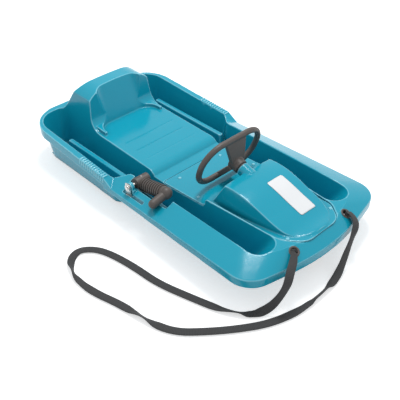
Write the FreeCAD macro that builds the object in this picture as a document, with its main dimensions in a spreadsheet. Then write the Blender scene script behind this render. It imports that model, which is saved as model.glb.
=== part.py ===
"""Child's steering sled: moulded tub, hood, steering gear, hand brake and tow strap.

Millimetres. +X is forward, +Y is the rider's left, +Z is up, and the ground is at Z = 0.
"""
import FreeCAD
import Part
import Sketcher

import math
import os
from types import SimpleNamespace

from FreeCAD import Placement, Rotation, Vector

DOC = FreeCAD.newDocument("SteeringSled")
SHEET = DOC.addObject("Spreadsheet::Sheet", "Sizes")

# Driving dimensions
SIZES = {
    # Plan of the tub's edge
    "sled_length": 950.0,
    "rear_half_width": 238.0,
    "front_half_width": 252.0,
    "rear_corner_radius": 98.0,
    "front_corner_radius": 68.0,
    "nose_bow": 56.0,
    "nose_radius": 600.0,
    # Tub shell and its levels
    "wall": 4.0,
    "skirt_bottom": 68.0,
    "side_edge_height": 84.0,
    "nose_edge_height": 93.0,
    "plateau_height": 115.0,
    "plateau_half_width": 183.0,
    "plateau_rear_x": -400.0,
    "plateau_front_x": 405.0,
    "plateau_bow": 47.0,
    "plateau_corner_radius": 88.0,
    "plateau_bow_radius": 350.0,
    "rim_height_rear": 125.0,
    "rim_height_step": 106.0,
    "rim_lip": 28.0,
    "rim_width": 19.0,
    "rim_step_x": -104.0,
    "rim_step_run": 38.0,
    # Backrest hump and seat
    "hump_base_height": 80.0,
    "hump_height": 218.0,
    "hump_trim": 4.0,
    "hump_rear_base_height": 104.0,
    "hump_base_rear_x": -463.0,
    "hump_base_front_x": -262.0,
    "hump_toe_x": -234.0,
    "hump_toe_drop": 0.6,
    "hump_foot_x": -316.0,
    "hump_foot_radius": 44.0,
    "hump_top_front_x": -330.0,
    "hump_top_rear_x": -386.0,
    "hump_front_radius": 11.0,
    "hump_rear_radius": 16.0,
    "hump_half_width": 136.0,
    "hump_shoulder_height": 212.0,
    "hump_shoulder_radius": 88.0,
    "hump_crown_radius": 420.0,
    "flank_bottom": 140.0,
    "flank_reach": 200.0,
    "bucket_base_rear_x": -303.0,
    "bucket_top_rear_x": -352.0,
    "bucket_base_half_width": 104.0,
    "bucket_top_half_width": 90.0,
    "bucket_radius": 45.0,
    "seat_half_width": 109.0,
    "seat_panel_half": 128.0,
    "seat_rear_height": 106.0,
    "seat_front_height": 98.0,
    "seat_roll_x": -62.0,
    "seat_roll_radius": 38.0,
    "seat_shelf_height": 84.0,
    "seat_groove_x": -247.0,
    "seat_groove_pitch": 50.0,
    "seat_groove_width": 3.0,
    "seat_groove_depth": 1.6,
    "seat_groove_half_length": 92.0,
    # Side wells: rear channel and front leg trough in one
    "well_floor": 12.0,
    "well_inner_half": 118.0,
    "well_inner_floor_half": 130.0,
    "well_nose_half": 101.0,
    "well_nose_floor_half": 119.0,
    "well_wall_lean": 18.0,
    "well_rear_lean": 17.0,
    "well_bend_x": 180.0,
    "well_nose_x": 406.0,
    "well_nose_floor_x": 326.0,
    "well_neck_x": -55.0,
    "well_shoulder_x": -98.0,
    "trough_floor_half": 172.0,
    "well_nose_radius": 37.0,
    "well_floor_radius": 18.0,
    "well_bend_radius": 60.0,
    "well_rear_radius": 24.0,
    "well_outer_radius": 62.0,
    "well_neck_radius": 26.0,
    # Ridge on the floor of the rear channel
    "ridge_y": 171.0,
    "ridge_height": 75.0,
    "ridge_rear_x": -372.0,
    "ridge_front_x": -50.0,
    "ridge_base_half": 17.0,
    "ridge_top_half": 7.0,
    "ridge_end_lean": 14.0,
    "ridge_radius": 5.5,
    # Runner ribs under the wells
    "runner_width": 10.0,
    "runner_inner_y": 143.0,
    "runner_outer_y": 198.0,
    "runner_rear_x": -425.0,
    "runner_front_x": 315.0,
    "runner_outer_front_x": -110.0,
    "runner_end_lean": 20.0,
    # Hand-grip ribs on the rear rim
    "grip_rear_x": -209.0,
    "grip_length": 108.0,
    "grip_rib_length": 4.5,
    "grip_rib_height": 2.0,
    "grip_rib_margin": 2.0,
    # Hood (console)
    "shelf_rear_height": 80.0,
    "shelf_front_height": 112.0,
    "shelf_front_x": 446.0,
    "plate_thickness": 4.0,
    "console_clearance": 1.5,
    "console_rear_x": 2.0,
    "console_half_width": 121.0,
    "console_corner_x": 152.0,
    "console_waist_x": 168.0,
    "console_waist_half": 113.0,
    "console_nose_x": 396.0,
    "console_nose_half": 98.0,
    "console_tip_half": 60.0,
    "console_corner_radius": 12.0,
    "console_nose_radius": 46.0,
    "hood_wall": 3.5,
    "hood_rear_x": 165.0,
    "hood_brow_x": 197.0,
    "hood_crown_x": 226.0,
    "hood_back_x": 262.0,
    "hood_mid_x": 302.0,
    "hood_fall_x": 342.0,
    "hood_front_x": 380.0,
    "hood_nose_x": 404.0,
    "hood_lip_x": 426.0,
    "hood_tip_x": 442.0,
    "hood_brow_height": 158.0,
    "hood_crown_height": 160.5,
    "hood_back_height": 157.0,
    "hood_mid_height": 147.0,
    "hood_fall_height": 133.5,
    "hood_front_height": 122.0,
    "hood_lip_rise": 3.0,
    "hood_rear_half": 92.0,
    "hood_brow_half": 85.0,
    "hood_mid_half": 84.0,
    "hood_fall_half": 83.0,
    "hood_front_half": 80.0,
    "hood_nose_half": 71.0,
    "hood_lip_half": 50.0,
    "hood_tip_half": 26.0,
    "hood_arch": 4.0,
    "hood_side_lean": 13.0,
    "hatch_rear_x": 190.0,
    "hatch_front_x": 358.0,
    "hatch_half_width": 62.0,
    "screw_diameter": 5.0,
    "screw_length": 16.0,
    "screw_head_diameter": 10.0,
    "screw_head_height": 1.6,
    "screw_boss_diameter": 12.0,
    "screw_rear_x": 22.0,
    "screw_rear_half": 78.0,
    "screw_side_x": 124.0,
    "screw_side_half": 106.0,
    "screw_front_x": 405.0,
    "screw_front_half": 83.0,
    # Steering axis and wheel
    "axis_foot_x": 181.0,
    "axis_foot_height": 159.0,
    "axis_slope_degrees": 17.5,
    "running_clearance": 0.05,
    "shaft_diameter": 16.0,
    "shaft_front": 178.0,
    "boss_diameter": 36.0,
    "boss_length": 34.0,
    "boss_proud": 4.0,
    "bush_diameter": 24.0,
    "bush_length": 22.0,
    "bush_flange_diameter": 32.0,
    "bush_flange": 3.0,
    "front_bush_start": 116.0,
    "rib_thickness": 12.0,
    "rib_half_width": 44.0,
    "rib_below": 22.0,
    "retainer_diameter": 26.0,
    "retainer_thickness": 3.0,
    "wheel_width": 226.0,
    "wheel_height": 146.0,
    "wheel_tube": 16.0,
    "wheel_corner_radius": 60.0,
    "wheel_dish": 55.0,
    "wheel_hub_diameter": 40.0,
    "wheel_hub_length": 30.0,
    "wheel_gap": 0.5,
    "spoke_hub_half": 22.0,
    "spoke_top_half": 36.0,
    "spoke_foot_half": 23.0,
    "spoke_hub_thickness": 16.0,
    "spoke_rim_thickness": 13.0,
    "wheel_screw_diameter": 8.0,
    "wheel_screw_depth": 22.0,
    "wheel_screw_head": 15.0,
    "wheel_screw_head_height": 5.0,
    "wheel_washer_diameter": 22.0,
    "wheel_washer_thickness": 2.0,
    # Crank, skid and king bolt
    "crank_place": 165.0,
    "crank_reach": 48.0,
    "crank_hub_diameter": 28.0,
    "crank_hub_length": 22.0,
    "crank_arm_half": 8.0,
    "crank_arm_thickness": 10.0,
    "crank_neck_length": 18.0,
    "crank_neck_diameter": 8.0,
    "crank_ball_diameter": 12.0,
    "crank_pin_diameter": 5.0,
    "king_x": 381.0,
    "king_bolt_diameter": 12.0,
    "king_boss_diameter": 44.0,
    "king_boss_bottom": 45.0,
    "king_boss_rim": 106.0,
    "king_boss_top": 97.0,
    "king_pocket_diameter": 30.0,
    "king_head_across": 18.0,
    "king_head_height": 8.0,
    "king_washer_diameter": 26.0,
    "king_washer_thickness": 2.5,
    "king_nut_height": 10.0,
    "king_bolt_proud": 2.5,
    "skid_clearance": 0.3,
    "skid_ground_gap": 1.0,
    "skid_width": 58.0,
    "skid_sole": 11.0,
    "skid_rear": 84.0,
    "skid_flat_front": 28.0,
    "skid_tip": 66.0,
    "skid_tip_rise": 26.0,
    "skid_corner_radius": 20.0,
    "skid_stem_diameter": 38.0,
    "skid_head_pocket": 24.0,
    "tiller_half_width": 9.0,
    "tiller_bottom": 30.0,
    "tiller_top": 44.0,
    "fork_clearance": 0.8,
    "fork_prong": 6.0,
    "fork_rear_overlap": 14.0,
    "fork_front_overlap": 11.0,
    "fork_rise": 6.0,
    # Brake
    "brake_x": -14.0,
    "brake_height": 112.0,
    "brake_pin_diameter": 10.0,
    "brake_pin_head_diameter": 15.0,
    "brake_pin_head": 4.0,
    "lever_inner_y": -161.5,
    "lever_width": 41.0,
    "lever_hub_diameter": 30.0,
    "grip_diameter": 34.0,
    "grip_drop": 9.0,
    "lever_grip_length": 101.0,
    "grip_rise_degrees": 12.5,
    "ring_diameter": 38.0,
    "ring_length": 4.6,
    "ring_pitch": 8.4,
    "ring_start": 8.0,
    "elbow_diameter": 33.0,
    "hook_diameter": 24.0,
    "hook_reach": 46.0,
    "hook_drop": 11.0,
    "lever_pin_diameter": 4.0,
    "notch_rear_x": -38.0,
    "notch_front_x": 112.0,
    "notch_outer_y": -207.0,
    "notch_depth": 34.0,
    "lug_inner_y": -214.0,
    "lug_width": 10.0,
    "lug_half_length": 15.0,
    "lug_wall": 7.0,
    "lug_bottom": 86.0,
    "claw_thickness": 3.0,
    "claw_gap": 1.5,
    "claw_level": 72.0,
    "claw_length": 120.0,
    "claw_half_width": 7.0,
    "claw_hub_half": 10.0,
    "slot_rear_x": -34.0,
    "slot_front_x": 45.0,
    "slot_margin": 3.0,
    "push_nut_diameter": 18.0,
    "push_nut_thickness": 3.0,
    # Tow strap
    "strap_tube_diameter": 8.0,
    "strap_hole_diameter": 22.0,
    "strap_hole_x": 440.0,
    "strap_hole_y": 100.0,
    "strap_knot_diameter": 26.0,
    "strap_knot_length": 16.0,
    "strap_knot_height": 88.0,
    # Overrun of cutting tools and reach of open-bottomed forms
    "overrun": 20.0,
    "deep": -60.0,
    "high": 260.0,
    "least_radius": 0.8,
}

# Shares
SPOKE_TAPER_SHARE = 0.75
KNOT_WAIST_SHARE = 0.7
HEAD_TAPER_SHARE = 0.7
PATH_CORNER_SHARE = 0.45


class Size(float):
    """A number that remembers the sheet formula it was worked out from."""

    def __new__(cls, value, text):
        size = float.__new__(cls, value)
        size.text = text
        return size

    def __add__(self, other):
        return Size(float(self) + float(other), f"({self.text} + {text_of(other)})")

    def __radd__(self, other):
        return Size(float(other) + float(self), f"({text_of(other)} + {self.text})")

    def __sub__(self, other):
        return Size(float(self) - float(other), f"({self.text} - {text_of(other)})")

    def __rsub__(self, other):
        return Size(float(other) - float(self), f"({text_of(other)} - {self.text})")

    def __mul__(self, other):
        return Size(float(self) * float(other), f"({self.text} * {text_of(other)})")

    def __rmul__(self, other):
        return Size(float(other) * float(self), f"({text_of(other)} * {self.text})")

    def __truediv__(self, other):
        return Size(float(self) / float(other), f"({self.text} / {text_of(other)})")

    def __neg__(self):
        return Size(-float(self), f"(-1 * {self.text})")


def text_of(number):
    """The sheet formula of a size, or the plain digits of a bare number."""
    return getattr(number, "text", repr(float(number)))


def load_sizes():
    """Fills the sheet and hands back the same values as named sizes."""
    named = {}
    for row, (name, value) in enumerate(SIZES.items(), 1):
        SHEET.set(f"A{row}", name)
        SHEET.set(f"B{row}", str(value))
        SHEET.setAlias(f"B{row}", name)
        named[name] = Size(value, f"Sizes.{name}")
    DOC.recompute()
    return SimpleNamespace(**named)


S = load_sizes()
NODES = {}


def bind(thing, **properties):
    """Ties properties of an object to the sheet."""
    for name, size in properties.items():
        setattr(thing, name, float(size))
        thing.setExpression(name, text_of(size))
    return thing


def primitive(kind, name, placement=None, **properties):
    """A Part primitive with its sizes tied to the sheet."""
    thing = bind(DOC.addObject(kind, name), **properties)
    if placement is not None:
        thing.Placement = placement
    return thing


def fuse(name, pieces):
    """One solid from several primitives."""
    thing = DOC.addObject("Part::MultiFuse", name)
    thing.Shapes = pieces
    return thing


def cut(name, base, tool):
    """A base solid with a tool taken out of it."""
    thing = DOC.addObject("Part::Cut", name)
    thing.Base = base
    thing.Tool = tool
    return thing


def keep(label, thing):
    """Registers a finished sub-part under its node name."""
    thing.Label = label
    NODES[label] = thing
    return thing


def keep_shape(label, shape):
    """Registers a shape made with Part's own functions as a sub-part."""
    thing = DOC.addObject("Part::Feature", label)
    thing.Shape = shape
    thing.Placement = Placement()
    return keep(label, thing)


# Outlines with rounded corners

def corner_wire(corners, height_at):
    """Closed wire of lines and arcs through ((x, y), radius) corners; height_at gives Z from X."""
    points = [Vector(x, y, height_at(x)) for (x, y), radius in corners]
    count = len(points)
    starts, middles, ends = [], [], []
    for i, (place, radius) in enumerate(corners):
        to_before = (points[i - 1] - points[i]).normalize()
        to_after = (points[(i + 1) % count] - points[i]).normalize()
        half = to_before.getAngle(to_after) / 2
        reach = radius / math.tan(half)
        centre = points[i] + (to_before + to_after).normalize() * (radius / math.sin(half))
        starts.append(points[i] + to_before * reach)
        ends.append(points[i] + to_after * reach)
        middles.append(centre + (points[i] - centre).normalize() * radius)
    edges = []
    for i in range(count):
        edges.append(Part.Arc(starts[i], middles[i], ends[i]).toShape())
        edges.append(Part.LineSegment(ends[i], starts[(i + 1) % count]).toShape())
    return Part.Wire(edges)


def grow(corners, distance):
    """Moves every side of a counter-clockwise outline out by distance."""
    count = len(corners)
    grown = []
    for i, ((x, y), radius) in enumerate(corners):
        before = corners[i - 1][0]
        after = corners[(i + 1) % count][0]
        along = Vector(x - before[0], y - before[1], 0).normalize()
        onward = Vector(after[0] - x, after[1] - y, 0).normalize()
        out = Vector(along.y + onward.y, -along.x - onward.x, 0)
        share = distance / (1 + along.dot(onward))
        left_turn = along.x * onward.y - along.y * onward.x > 0
        new_radius = radius + distance if left_turn else radius - distance
        grown.append(((x + out.x * share, y + out.y * share), max(new_radius, S.least_radius)))
    return grown


def mirrored_outline(right_side, apex=None):
    """Counter-clockwise outline from its corners at negative Y, in order from rear to front."""
    left_side = [((x, -y), radius) for (x, y), radius in reversed(right_side)]
    return right_side + ([apex] if apex else []) + left_side


def level(height):
    """A flat plane for corner_wire."""
    return lambda x: height


def loft(*wires):
    """Ruled solid through wires with the same corners."""
    return Part.makeLoft(list(wires), True, True)


def prism(corners, bottom, top):
    """Upright solid between two levels."""
    return Part.Face(corner_wire(corners, level(bottom))).extrude(Vector(0, 0, top - bottom))


def side_profile(points, half_width, middle=0.0):
    """Solid of a side view (x, z) pushed out to both sides in Y."""
    corners = [Vector(x, middle - half_width, z) for x, z in points]
    face = Part.Face(Part.makePolygon(corners + corners[:1]))
    return face.extrude(Vector(0, 2 * half_width, 0))


def side_view(corners, half_width):
    """Solid of a rounded side view (x, z) pushed out to both sides in Y."""
    solid = Part.Face(corner_wire(corners, level(0.0))).extrude(Vector(0, 0, 2 * half_width))
    solid.Placement = Placement(Vector(0, half_width, 0), Rotation(Vector(1, 0, 0), 90))
    return solid


def front_view(corners, rear, front):
    """Solid of a rounded front view (y, z) pushed along X."""
    turn = Rotation(Vector(0, 1, 0), Vector(0, 0, 1), Vector(1, 0, 0), "ZXY")
    solid = Part.Face(corner_wire(corners, level(0.0))).extrude(Vector(0, 0, front - rear))
    solid.Placement = Placement(Vector(rear, 0, 0), turn)
    return solid


def both_sides(shape):
    """A solid and its mirror image across the middle plane."""
    return [shape, shape.mirror(Vector(0, 0, 0), Vector(0, 1, 0))]


def box(low, high):
    """Upright box between two corners."""
    return Part.makeBox(high[0] - low[0], high[1] - low[1], high[2] - low[2], Vector(*low))


def post(x, y, bottom, top, diameter):
    """Upright cylinder."""
    return Part.makeCylinder(diameter / 2, top - bottom, Vector(x, y, bottom))


# Tub: the outer form, its hollows and the ribs

def nose_corner():
    """X of the front corners and of the bow's apex, from the overall length."""
    bow_angle = math.atan2(S.nose_bow, S.front_half_width)
    apex = S.sled_length / 2 + S.nose_radius * (1 / math.cos(bow_angle) - 1)
    return apex - S.nose_bow, apex


def edge_half_width(x):
    """Half width of the tub's edge along its straight sides."""
    rear = -S.sled_length / 2
    front, apex = nose_corner()
    return S.rear_half_width + (S.front_half_width - S.rear_half_width) * (x - rear) / (front - rear)


def edge_outline():
    front, apex = nose_corner()
    side = [
        ((-S.sled_length / 2, -S.rear_half_width), S.rear_corner_radius),
        ((front, -S.front_half_width), S.front_corner_radius),
    ]
    return mirrored_outline(side, ((apex, 0.0), S.nose_radius))


def plateau_outline():
    side = [
        ((S.plateau_rear_x, -S.plateau_half_width), S.plateau_corner_radius),
        ((S.plateau_front_x, -S.plateau_half_width), S.plateau_corner_radius),
    ]
    return mirrored_outline(side, ((S.plateau_front_x + S.plateau_bow, 0.0), S.plateau_bow_radius))


def rim_top(x):
    """Height of the rear rim, which falls towards the step."""
    rear = -S.sled_length / 2
    share = (x - rear) / (S.rim_step_x - rear)
    return S.rim_height_rear + (S.rim_height_step - S.rim_height_rear) * share


def edge_top(x):
    """Height of the low edge, which rises towards the nose."""
    foot = S.rim_step_x + S.rim_step_run
    share = (x - foot) / (S.sled_length / 2 - foot)
    return S.side_edge_height + (S.nose_edge_height - S.side_edge_height) * share


def fenders(inset, carried_down):
    """Nose deck and fenders: from the low edge up to the plateau round the wells."""
    edge = grow(edge_outline(), -inset)
    rear = S.rim_step_x + inset
    front = S.sled_length / 2 + S.overrun
    whole = loft(
        corner_wire(edge, level(S.deep if carried_down else S.skirt_bottom)),
        corner_wire(edge, lambda x: edge_top(x) - inset),
        corner_wire(grow(plateau_outline(), -inset), level(S.plateau_height - inset)),
    )
    return whole.common(box((rear, -S.sled_length, S.deep - S.overrun), (front, S.sled_length, S.high)))


def rear_rim(inset, carried_down):
    """High rim round the seat, with the ramp down to the fenders."""
    rear = -S.sled_length / 2 - S.overrun
    foot = S.rim_step_x + S.rim_step_run
    profile = [
        (rear, S.deep if carried_down else rim_top(rear) - S.rim_lip),
        (S.rim_step_x, S.deep if carried_down else rim_top(S.rim_step_x) - S.rim_lip),
        (foot, S.deep if carried_down else S.skirt_bottom),
        (foot, S.side_edge_height - inset),
        (S.rim_step_x, rim_top(S.rim_step_x) - inset),
        (rear, rim_top(rear) - inset),
    ]
    if carried_down:
        profile.pop(1)
    column = prism(grow(edge_outline(), -inset), S.deep, S.high)
    return column.common(side_profile(profile, S.sled_length)).cut(both_sides(seat_strip(inset)))


def seat_top(x):
    """Height of the seat, which falls towards its front roll."""
    share = (x - S.bucket_top_rear_x) / (S.seat_roll_x - S.bucket_top_rear_x)
    return S.seat_rear_height + (S.seat_front_height - S.seat_rear_height) * share


def backrest_hump(inset):
    """Backrest: its side view, crossed with an arched front view."""
    side = [
        ((S.hump_base_rear_x, S.hump_rear_base_height), S.least_radius),
        ((S.hump_top_rear_x - S.overrun, S.hump_base_height), S.least_radius),
        ((S.hump_toe_x, S.hump_base_height), S.least_radius),
        ((S.hump_toe_x, seat_top(S.hump_toe_x) - S.hump_toe_drop), S.least_radius),
        ((S.hump_foot_x, seat_top(S.hump_foot_x)), S.hump_foot_radius),
        ((S.hump_top_front_x, S.hump_height + S.hump_trim), S.hump_front_radius),
        ((S.hump_top_rear_x, S.hump_height + S.hump_trim), S.hump_rear_radius),
    ]
    arch = [
        ((-S.hump_half_width, S.hump_base_height - S.overrun), S.least_radius),
        ((S.hump_half_width, S.hump_base_height - S.overrun), S.least_radius),
        ((S.hump_half_width, S.hump_shoulder_height), S.hump_shoulder_radius),
        ((0.0, S.hump_height), S.hump_crown_radius),
        ((-S.hump_half_width, S.hump_shoulder_height), S.hump_shoulder_radius),
    ]
    body = side_view(grow(side, -inset), S.sled_length)
    return body.common(front_view(grow(arch, -inset), -S.sled_length, 0.0))


def tub_forms(inset, carried_down):
    """Outer forms of the tub, before the wells and the seat are let into it."""
    return [fenders(inset, carried_down), rear_rim(inset, carried_down), backrest_hump(inset)]


def side_well(inset):
    """Left well: channel beside the seat, running on into the leg trough."""
    rear_inner = -S.sled_length / 2 + S.rim_width
    shoulder = edge_half_width(S.well_shoulder_x) - S.rim_width
    rear_outer = edge_half_width(rear_inner) - S.rim_width
    rim = [
        ((rear_inner, S.well_inner_half), S.well_rear_radius),
        ((S.well_bend_x, S.well_inner_half), S.well_bend_radius),
        ((S.well_nose_x, S.well_nose_half), S.well_nose_radius),
        ((S.well_nose_x, S.plateau_half_width), S.well_nose_radius),
        ((S.well_neck_x, S.plateau_half_width), S.well_neck_radius),
        ((S.well_shoulder_x, shoulder), S.well_neck_radius),
        ((rear_inner, rear_outer), S.well_outer_radius),
    ]
    floor = [
        ((rear_inner + S.well_rear_lean, S.well_inner_floor_half), S.well_floor_radius),
        ((S.well_bend_x, S.well_inner_floor_half), S.well_bend_radius),
        ((S.well_nose_floor_x, S.well_nose_floor_half), S.well_floor_radius),
        ((S.well_nose_floor_x, S.trough_floor_half), S.well_floor_radius),
        ((S.well_neck_x, S.trough_floor_half), S.well_neck_radius),
        ((S.well_shoulder_x, shoulder - S.well_wall_lean), S.well_neck_radius),
        (
            (rear_inner + S.well_rear_lean, rear_outer - S.well_wall_lean),
            S.well_outer_radius - S.well_rear_lean,
        ),
    ]
    rim = grow(rim, inset)
    floor = grow(floor, inset)
    bottom = S.well_floor - inset
    share = (S.rim_height_rear + S.overrun - bottom) / (S.plateau_height - bottom)
    top = []
    for (low, low_radius), (high, high_radius) in zip(floor, rim):
        place = (low[0] + (high[0] - low[0]) * share, low[1] + (high[1] - low[1]) * share)
        top.append((place, low_radius + (high_radius - low_radius) * share))
    return loft(
        corner_wire(floor, level(bottom)),
        corner_wire(top, level(S.rim_height_rear + S.overrun)),
    )


def flank_space(inset):
    """Room beside the backrest's left flank, in line with the well's inner wall."""
    bottom = S.well_floor - inset
    lean = (S.well_inner_floor_half - S.well_inner_half) / (S.plateau_height - bottom)
    corners = [
        (S.well_inner_floor_half - inset - lean * (S.flank_bottom - bottom), S.flank_bottom),
        (S.flank_reach, S.flank_bottom),
        (S.flank_reach, S.high),
        (S.well_inner_floor_half - inset - lean * (S.high - bottom), S.high),
    ]
    points = [Vector(S.hump_base_rear_x, y, z) for y, z in corners]
    face = Part.Face(Part.makePolygon(points + points[:1]))
    return face.extrude(Vector(S.hump_base_front_x - S.hump_base_rear_x + S.overrun, 0, 0))


def channel_ridge(inset):
    """Ridge along the floor of the left rear channel."""
    base = [
        ((S.ridge_rear_x, S.ridge_y - S.ridge_base_half), S.ridge_radius),
        ((S.ridge_front_x, S.ridge_y - S.ridge_base_half), S.ridge_radius),
        ((S.ridge_front_x, S.ridge_y + S.ridge_base_half), S.ridge_radius),
        ((S.ridge_rear_x, S.ridge_y + S.ridge_base_half), S.ridge_radius),
    ]
    top = [
        ((S.ridge_rear_x + S.ridge_end_lean, S.ridge_y - S.ridge_top_half), S.ridge_radius),
        ((S.ridge_front_x - S.ridge_end_lean, S.ridge_y - S.ridge_top_half), S.ridge_radius),
        ((S.ridge_front_x - S.ridge_end_lean, S.ridge_y + S.ridge_top_half), S.ridge_radius),
        ((S.ridge_rear_x + S.ridge_end_lean, S.ridge_y + S.ridge_top_half), S.ridge_radius),
    ]
    return loft(
        corner_wire(grow(base, -inset), level(0.0)),
        corner_wire(grow(top, -inset), level(S.ridge_height - inset)),
    )


def seat_strip(inset):
    """Strip of shelf beside the seat, run back under the backrest's left wing."""
    outer = S.well_inner_half + S.wall + S.wall
    low = (S.hump_top_rear_x - inset, S.seat_half_width - inset, S.seat_shelf_height - inset)
    return box(low, (S.hump_base_front_x + S.overrun, outer, S.high))


def seat_space(inset):
    """Open space above the seat shelf, in front of the backrest."""
    front = S.console_rear_x + S.overrun
    middle = S.well_inner_half + S.wall + S.wall
    rear = S.hump_base_front_x - inset
    return box((rear, -middle, S.seat_shelf_height - inset), (front, middle, S.high))


def seat_bucket(inset):
    """Hollow of the backrest, leaning back, with rounded wings."""
    base = mirrored_outline([
        ((S.bucket_base_rear_x, -S.bucket_base_half_width), S.bucket_radius),
        ((S.seat_roll_x, -S.bucket_base_half_width), S.bucket_radius),
    ])
    top = mirrored_outline([
        ((S.bucket_top_rear_x, -S.bucket_top_half_width), S.bucket_radius),
        ((S.seat_roll_x, -S.bucket_top_half_width), S.bucket_radius),
    ])
    return loft(
        corner_wire(grow(base, inset), level(S.seat_shelf_height - inset)),
        corner_wire(grow(top, inset), level(S.hump_height + S.overrun)),
    )


def seat_panel(inset):
    """Raised seat with its front edge rolled down."""
    rear = S.bucket_top_rear_x
    half = S.seat_panel_half - inset
    roll = S.seat_roll_radius - inset
    centre = (S.seat_roll_x, S.seat_front_height - S.seat_roll_radius)
    diagonal = roll / math.sqrt(2)
    points = [
        Vector(rear, -half, S.deep),
        Vector(rear, -half, S.seat_rear_height - inset),
        Vector(centre[0], -half, centre[1] + roll),
        Vector(centre[0] + diagonal, -half, centre[1] + diagonal),
        Vector(centre[0] + roll, -half, centre[1]),
        Vector(centre[0] + roll, -half, S.deep),
    ]
    edges = [
        Part.LineSegment(points[0], points[1]).toShape(),
        Part.LineSegment(points[1], points[2]).toShape(),
        Part.Arc(points[2], points[3], points[4]).toShape(),
        Part.LineSegment(points[4], points[5]).toShape(),
        Part.LineSegment(points[5], points[0]).toShape(),
    ]
    return Part.Face(Part.Wire(edges)).extrude(Vector(0, 2 * half, 0))


def shelf_at(x):
    """Height of the tunnel's top, on which the hood's plate lies."""
    return S.shelf_rear_height + (S.shelf_front_height - S.shelf_rear_height) * x / S.shelf_front_x


def console_outline():
    side = [
        ((S.console_rear_x, -S.console_half_width), S.console_corner_radius),
        ((S.console_corner_x, -S.console_half_width), S.console_corner_radius),
        ((S.console_waist_x, -S.console_waist_half), S.console_corner_radius),
        ((S.console_nose_x, -S.console_nose_half), S.console_nose_radius),
        ((S.shelf_front_x, -S.console_tip_half), S.console_nose_radius),
    ]
    return mirrored_outline(side)


def console_space(inset):
    """Room that the hood's plate takes on the tunnel."""
    plan = grow(console_outline(), S.console_clearance + inset)
    return loft(
        corner_wire(plan, lambda x: shelf_at(x) - inset),
        corner_wire(plan, level(S.high)),
    )


def brake_notch(inset):
    """Notch in the right fender's ridge that takes the brake lever's hub."""
    return box(
        (S.notch_rear_x - inset, S.notch_outer_y - inset, S.brake_height - S.notch_depth - inset),
        (S.notch_front_x + inset, -S.well_inner_floor_half, S.high),
    )


def hollows(inset):
    """Everything let into the tub from above."""
    over_seat = seat_space(inset).fuse(seat_bucket(inset)).cut(seat_panel(inset))
    wells = both_sides(side_well(inset))
    flanks = both_sides(flank_space(inset))
    spaces = wells[1:] + flanks + [over_seat, console_space(inset), brake_notch(inset)]
    return wells[0].fuse(spaces).cut(both_sides(channel_ridge(inset)))


def runner(y, front_x):
    """Straight runner rib under a well floor, with both ends swept up."""
    top = S.well_floor - S.wall / 2
    points = [
        (S.runner_rear_x, top),
        (S.runner_rear_x + S.runner_end_lean, 0.0),
        (front_x - S.runner_end_lean, 0.0),
        (front_x, top),
    ]
    return side_profile(points, S.runner_width / 2, y)


def grip_ribs():
    """Hand-grip ribs across the top of the left rear rim."""
    count = 12
    pitch = (S.grip_length - S.grip_rib_length) / (count - 1)
    ribs = []
    for i in range(count):
        x = S.grip_rear_x + pitch * i
        outer = edge_half_width(x) - S.grip_rib_margin
        inner = outer - S.rim_width + 2 * S.grip_rib_margin
        top = rim_top(x) + S.grip_rib_height
        ribs.append(box((x, inner, top - S.wall), (x + S.grip_rib_length, outer, top)))
    return ribs


def seat_grooves():
    """Shallow cross grooves in the seat."""
    grooves = []
    for i in range(4):
        x = S.seat_groove_x + S.seat_groove_pitch * i
        span = S.seat_roll_x - S.bucket_top_rear_x
        share = (x - S.bucket_top_rear_x) / span
        top = S.seat_rear_height + (S.seat_front_height - S.seat_rear_height) * share
        low = (x, -S.seat_groove_half_length, top - S.seat_groove_depth)
        high = (x + S.seat_groove_width, S.seat_groove_half_length, top + S.overrun)
        grooves.append(box(low, high))
    return grooves


def brake_lug():
    """Upright ear on the right fender that carries the brake pin."""
    outer = S.lug_inner_y - S.lug_width
    radius = S.brake_pin_diameter / 2 + S.lug_wall
    foot = box(
        (S.brake_x - S.lug_half_length, outer, S.lug_bottom),
        (S.brake_x + S.lug_half_length, S.lug_inner_y, S.brake_height - radius / 2),
    )
    head = Part.makeCylinder(radius, S.lug_width, Vector(S.brake_x, outer, S.brake_height), Vector(0, 1, 0))
    return foot.fuse(head)


def brake_bore(start_y, length):
    """Cutter for the brake pin's running hole."""
    radius = S.brake_pin_diameter / 2 + S.running_clearance
    return Part.makeCylinder(radius, length, Vector(S.brake_x, start_y, S.brake_height), Vector(0, 1, 0))


def claw_y():
    """Outer face of the brake claw, outboard of the lug."""
    return S.lug_inner_y - S.lug_width - S.claw_gap - S.claw_thickness


def screw_places():
    """Places of the hood's screws, from the rear to the front."""
    pairs = [
        (S.screw_rear_x, S.screw_rear_half),
        (S.screw_side_x, S.screw_side_half),
        (S.screw_front_x, S.screw_front_half),
    ]
    return [(x, side * half) for x, half in pairs for side in (-1, 1)]


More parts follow.
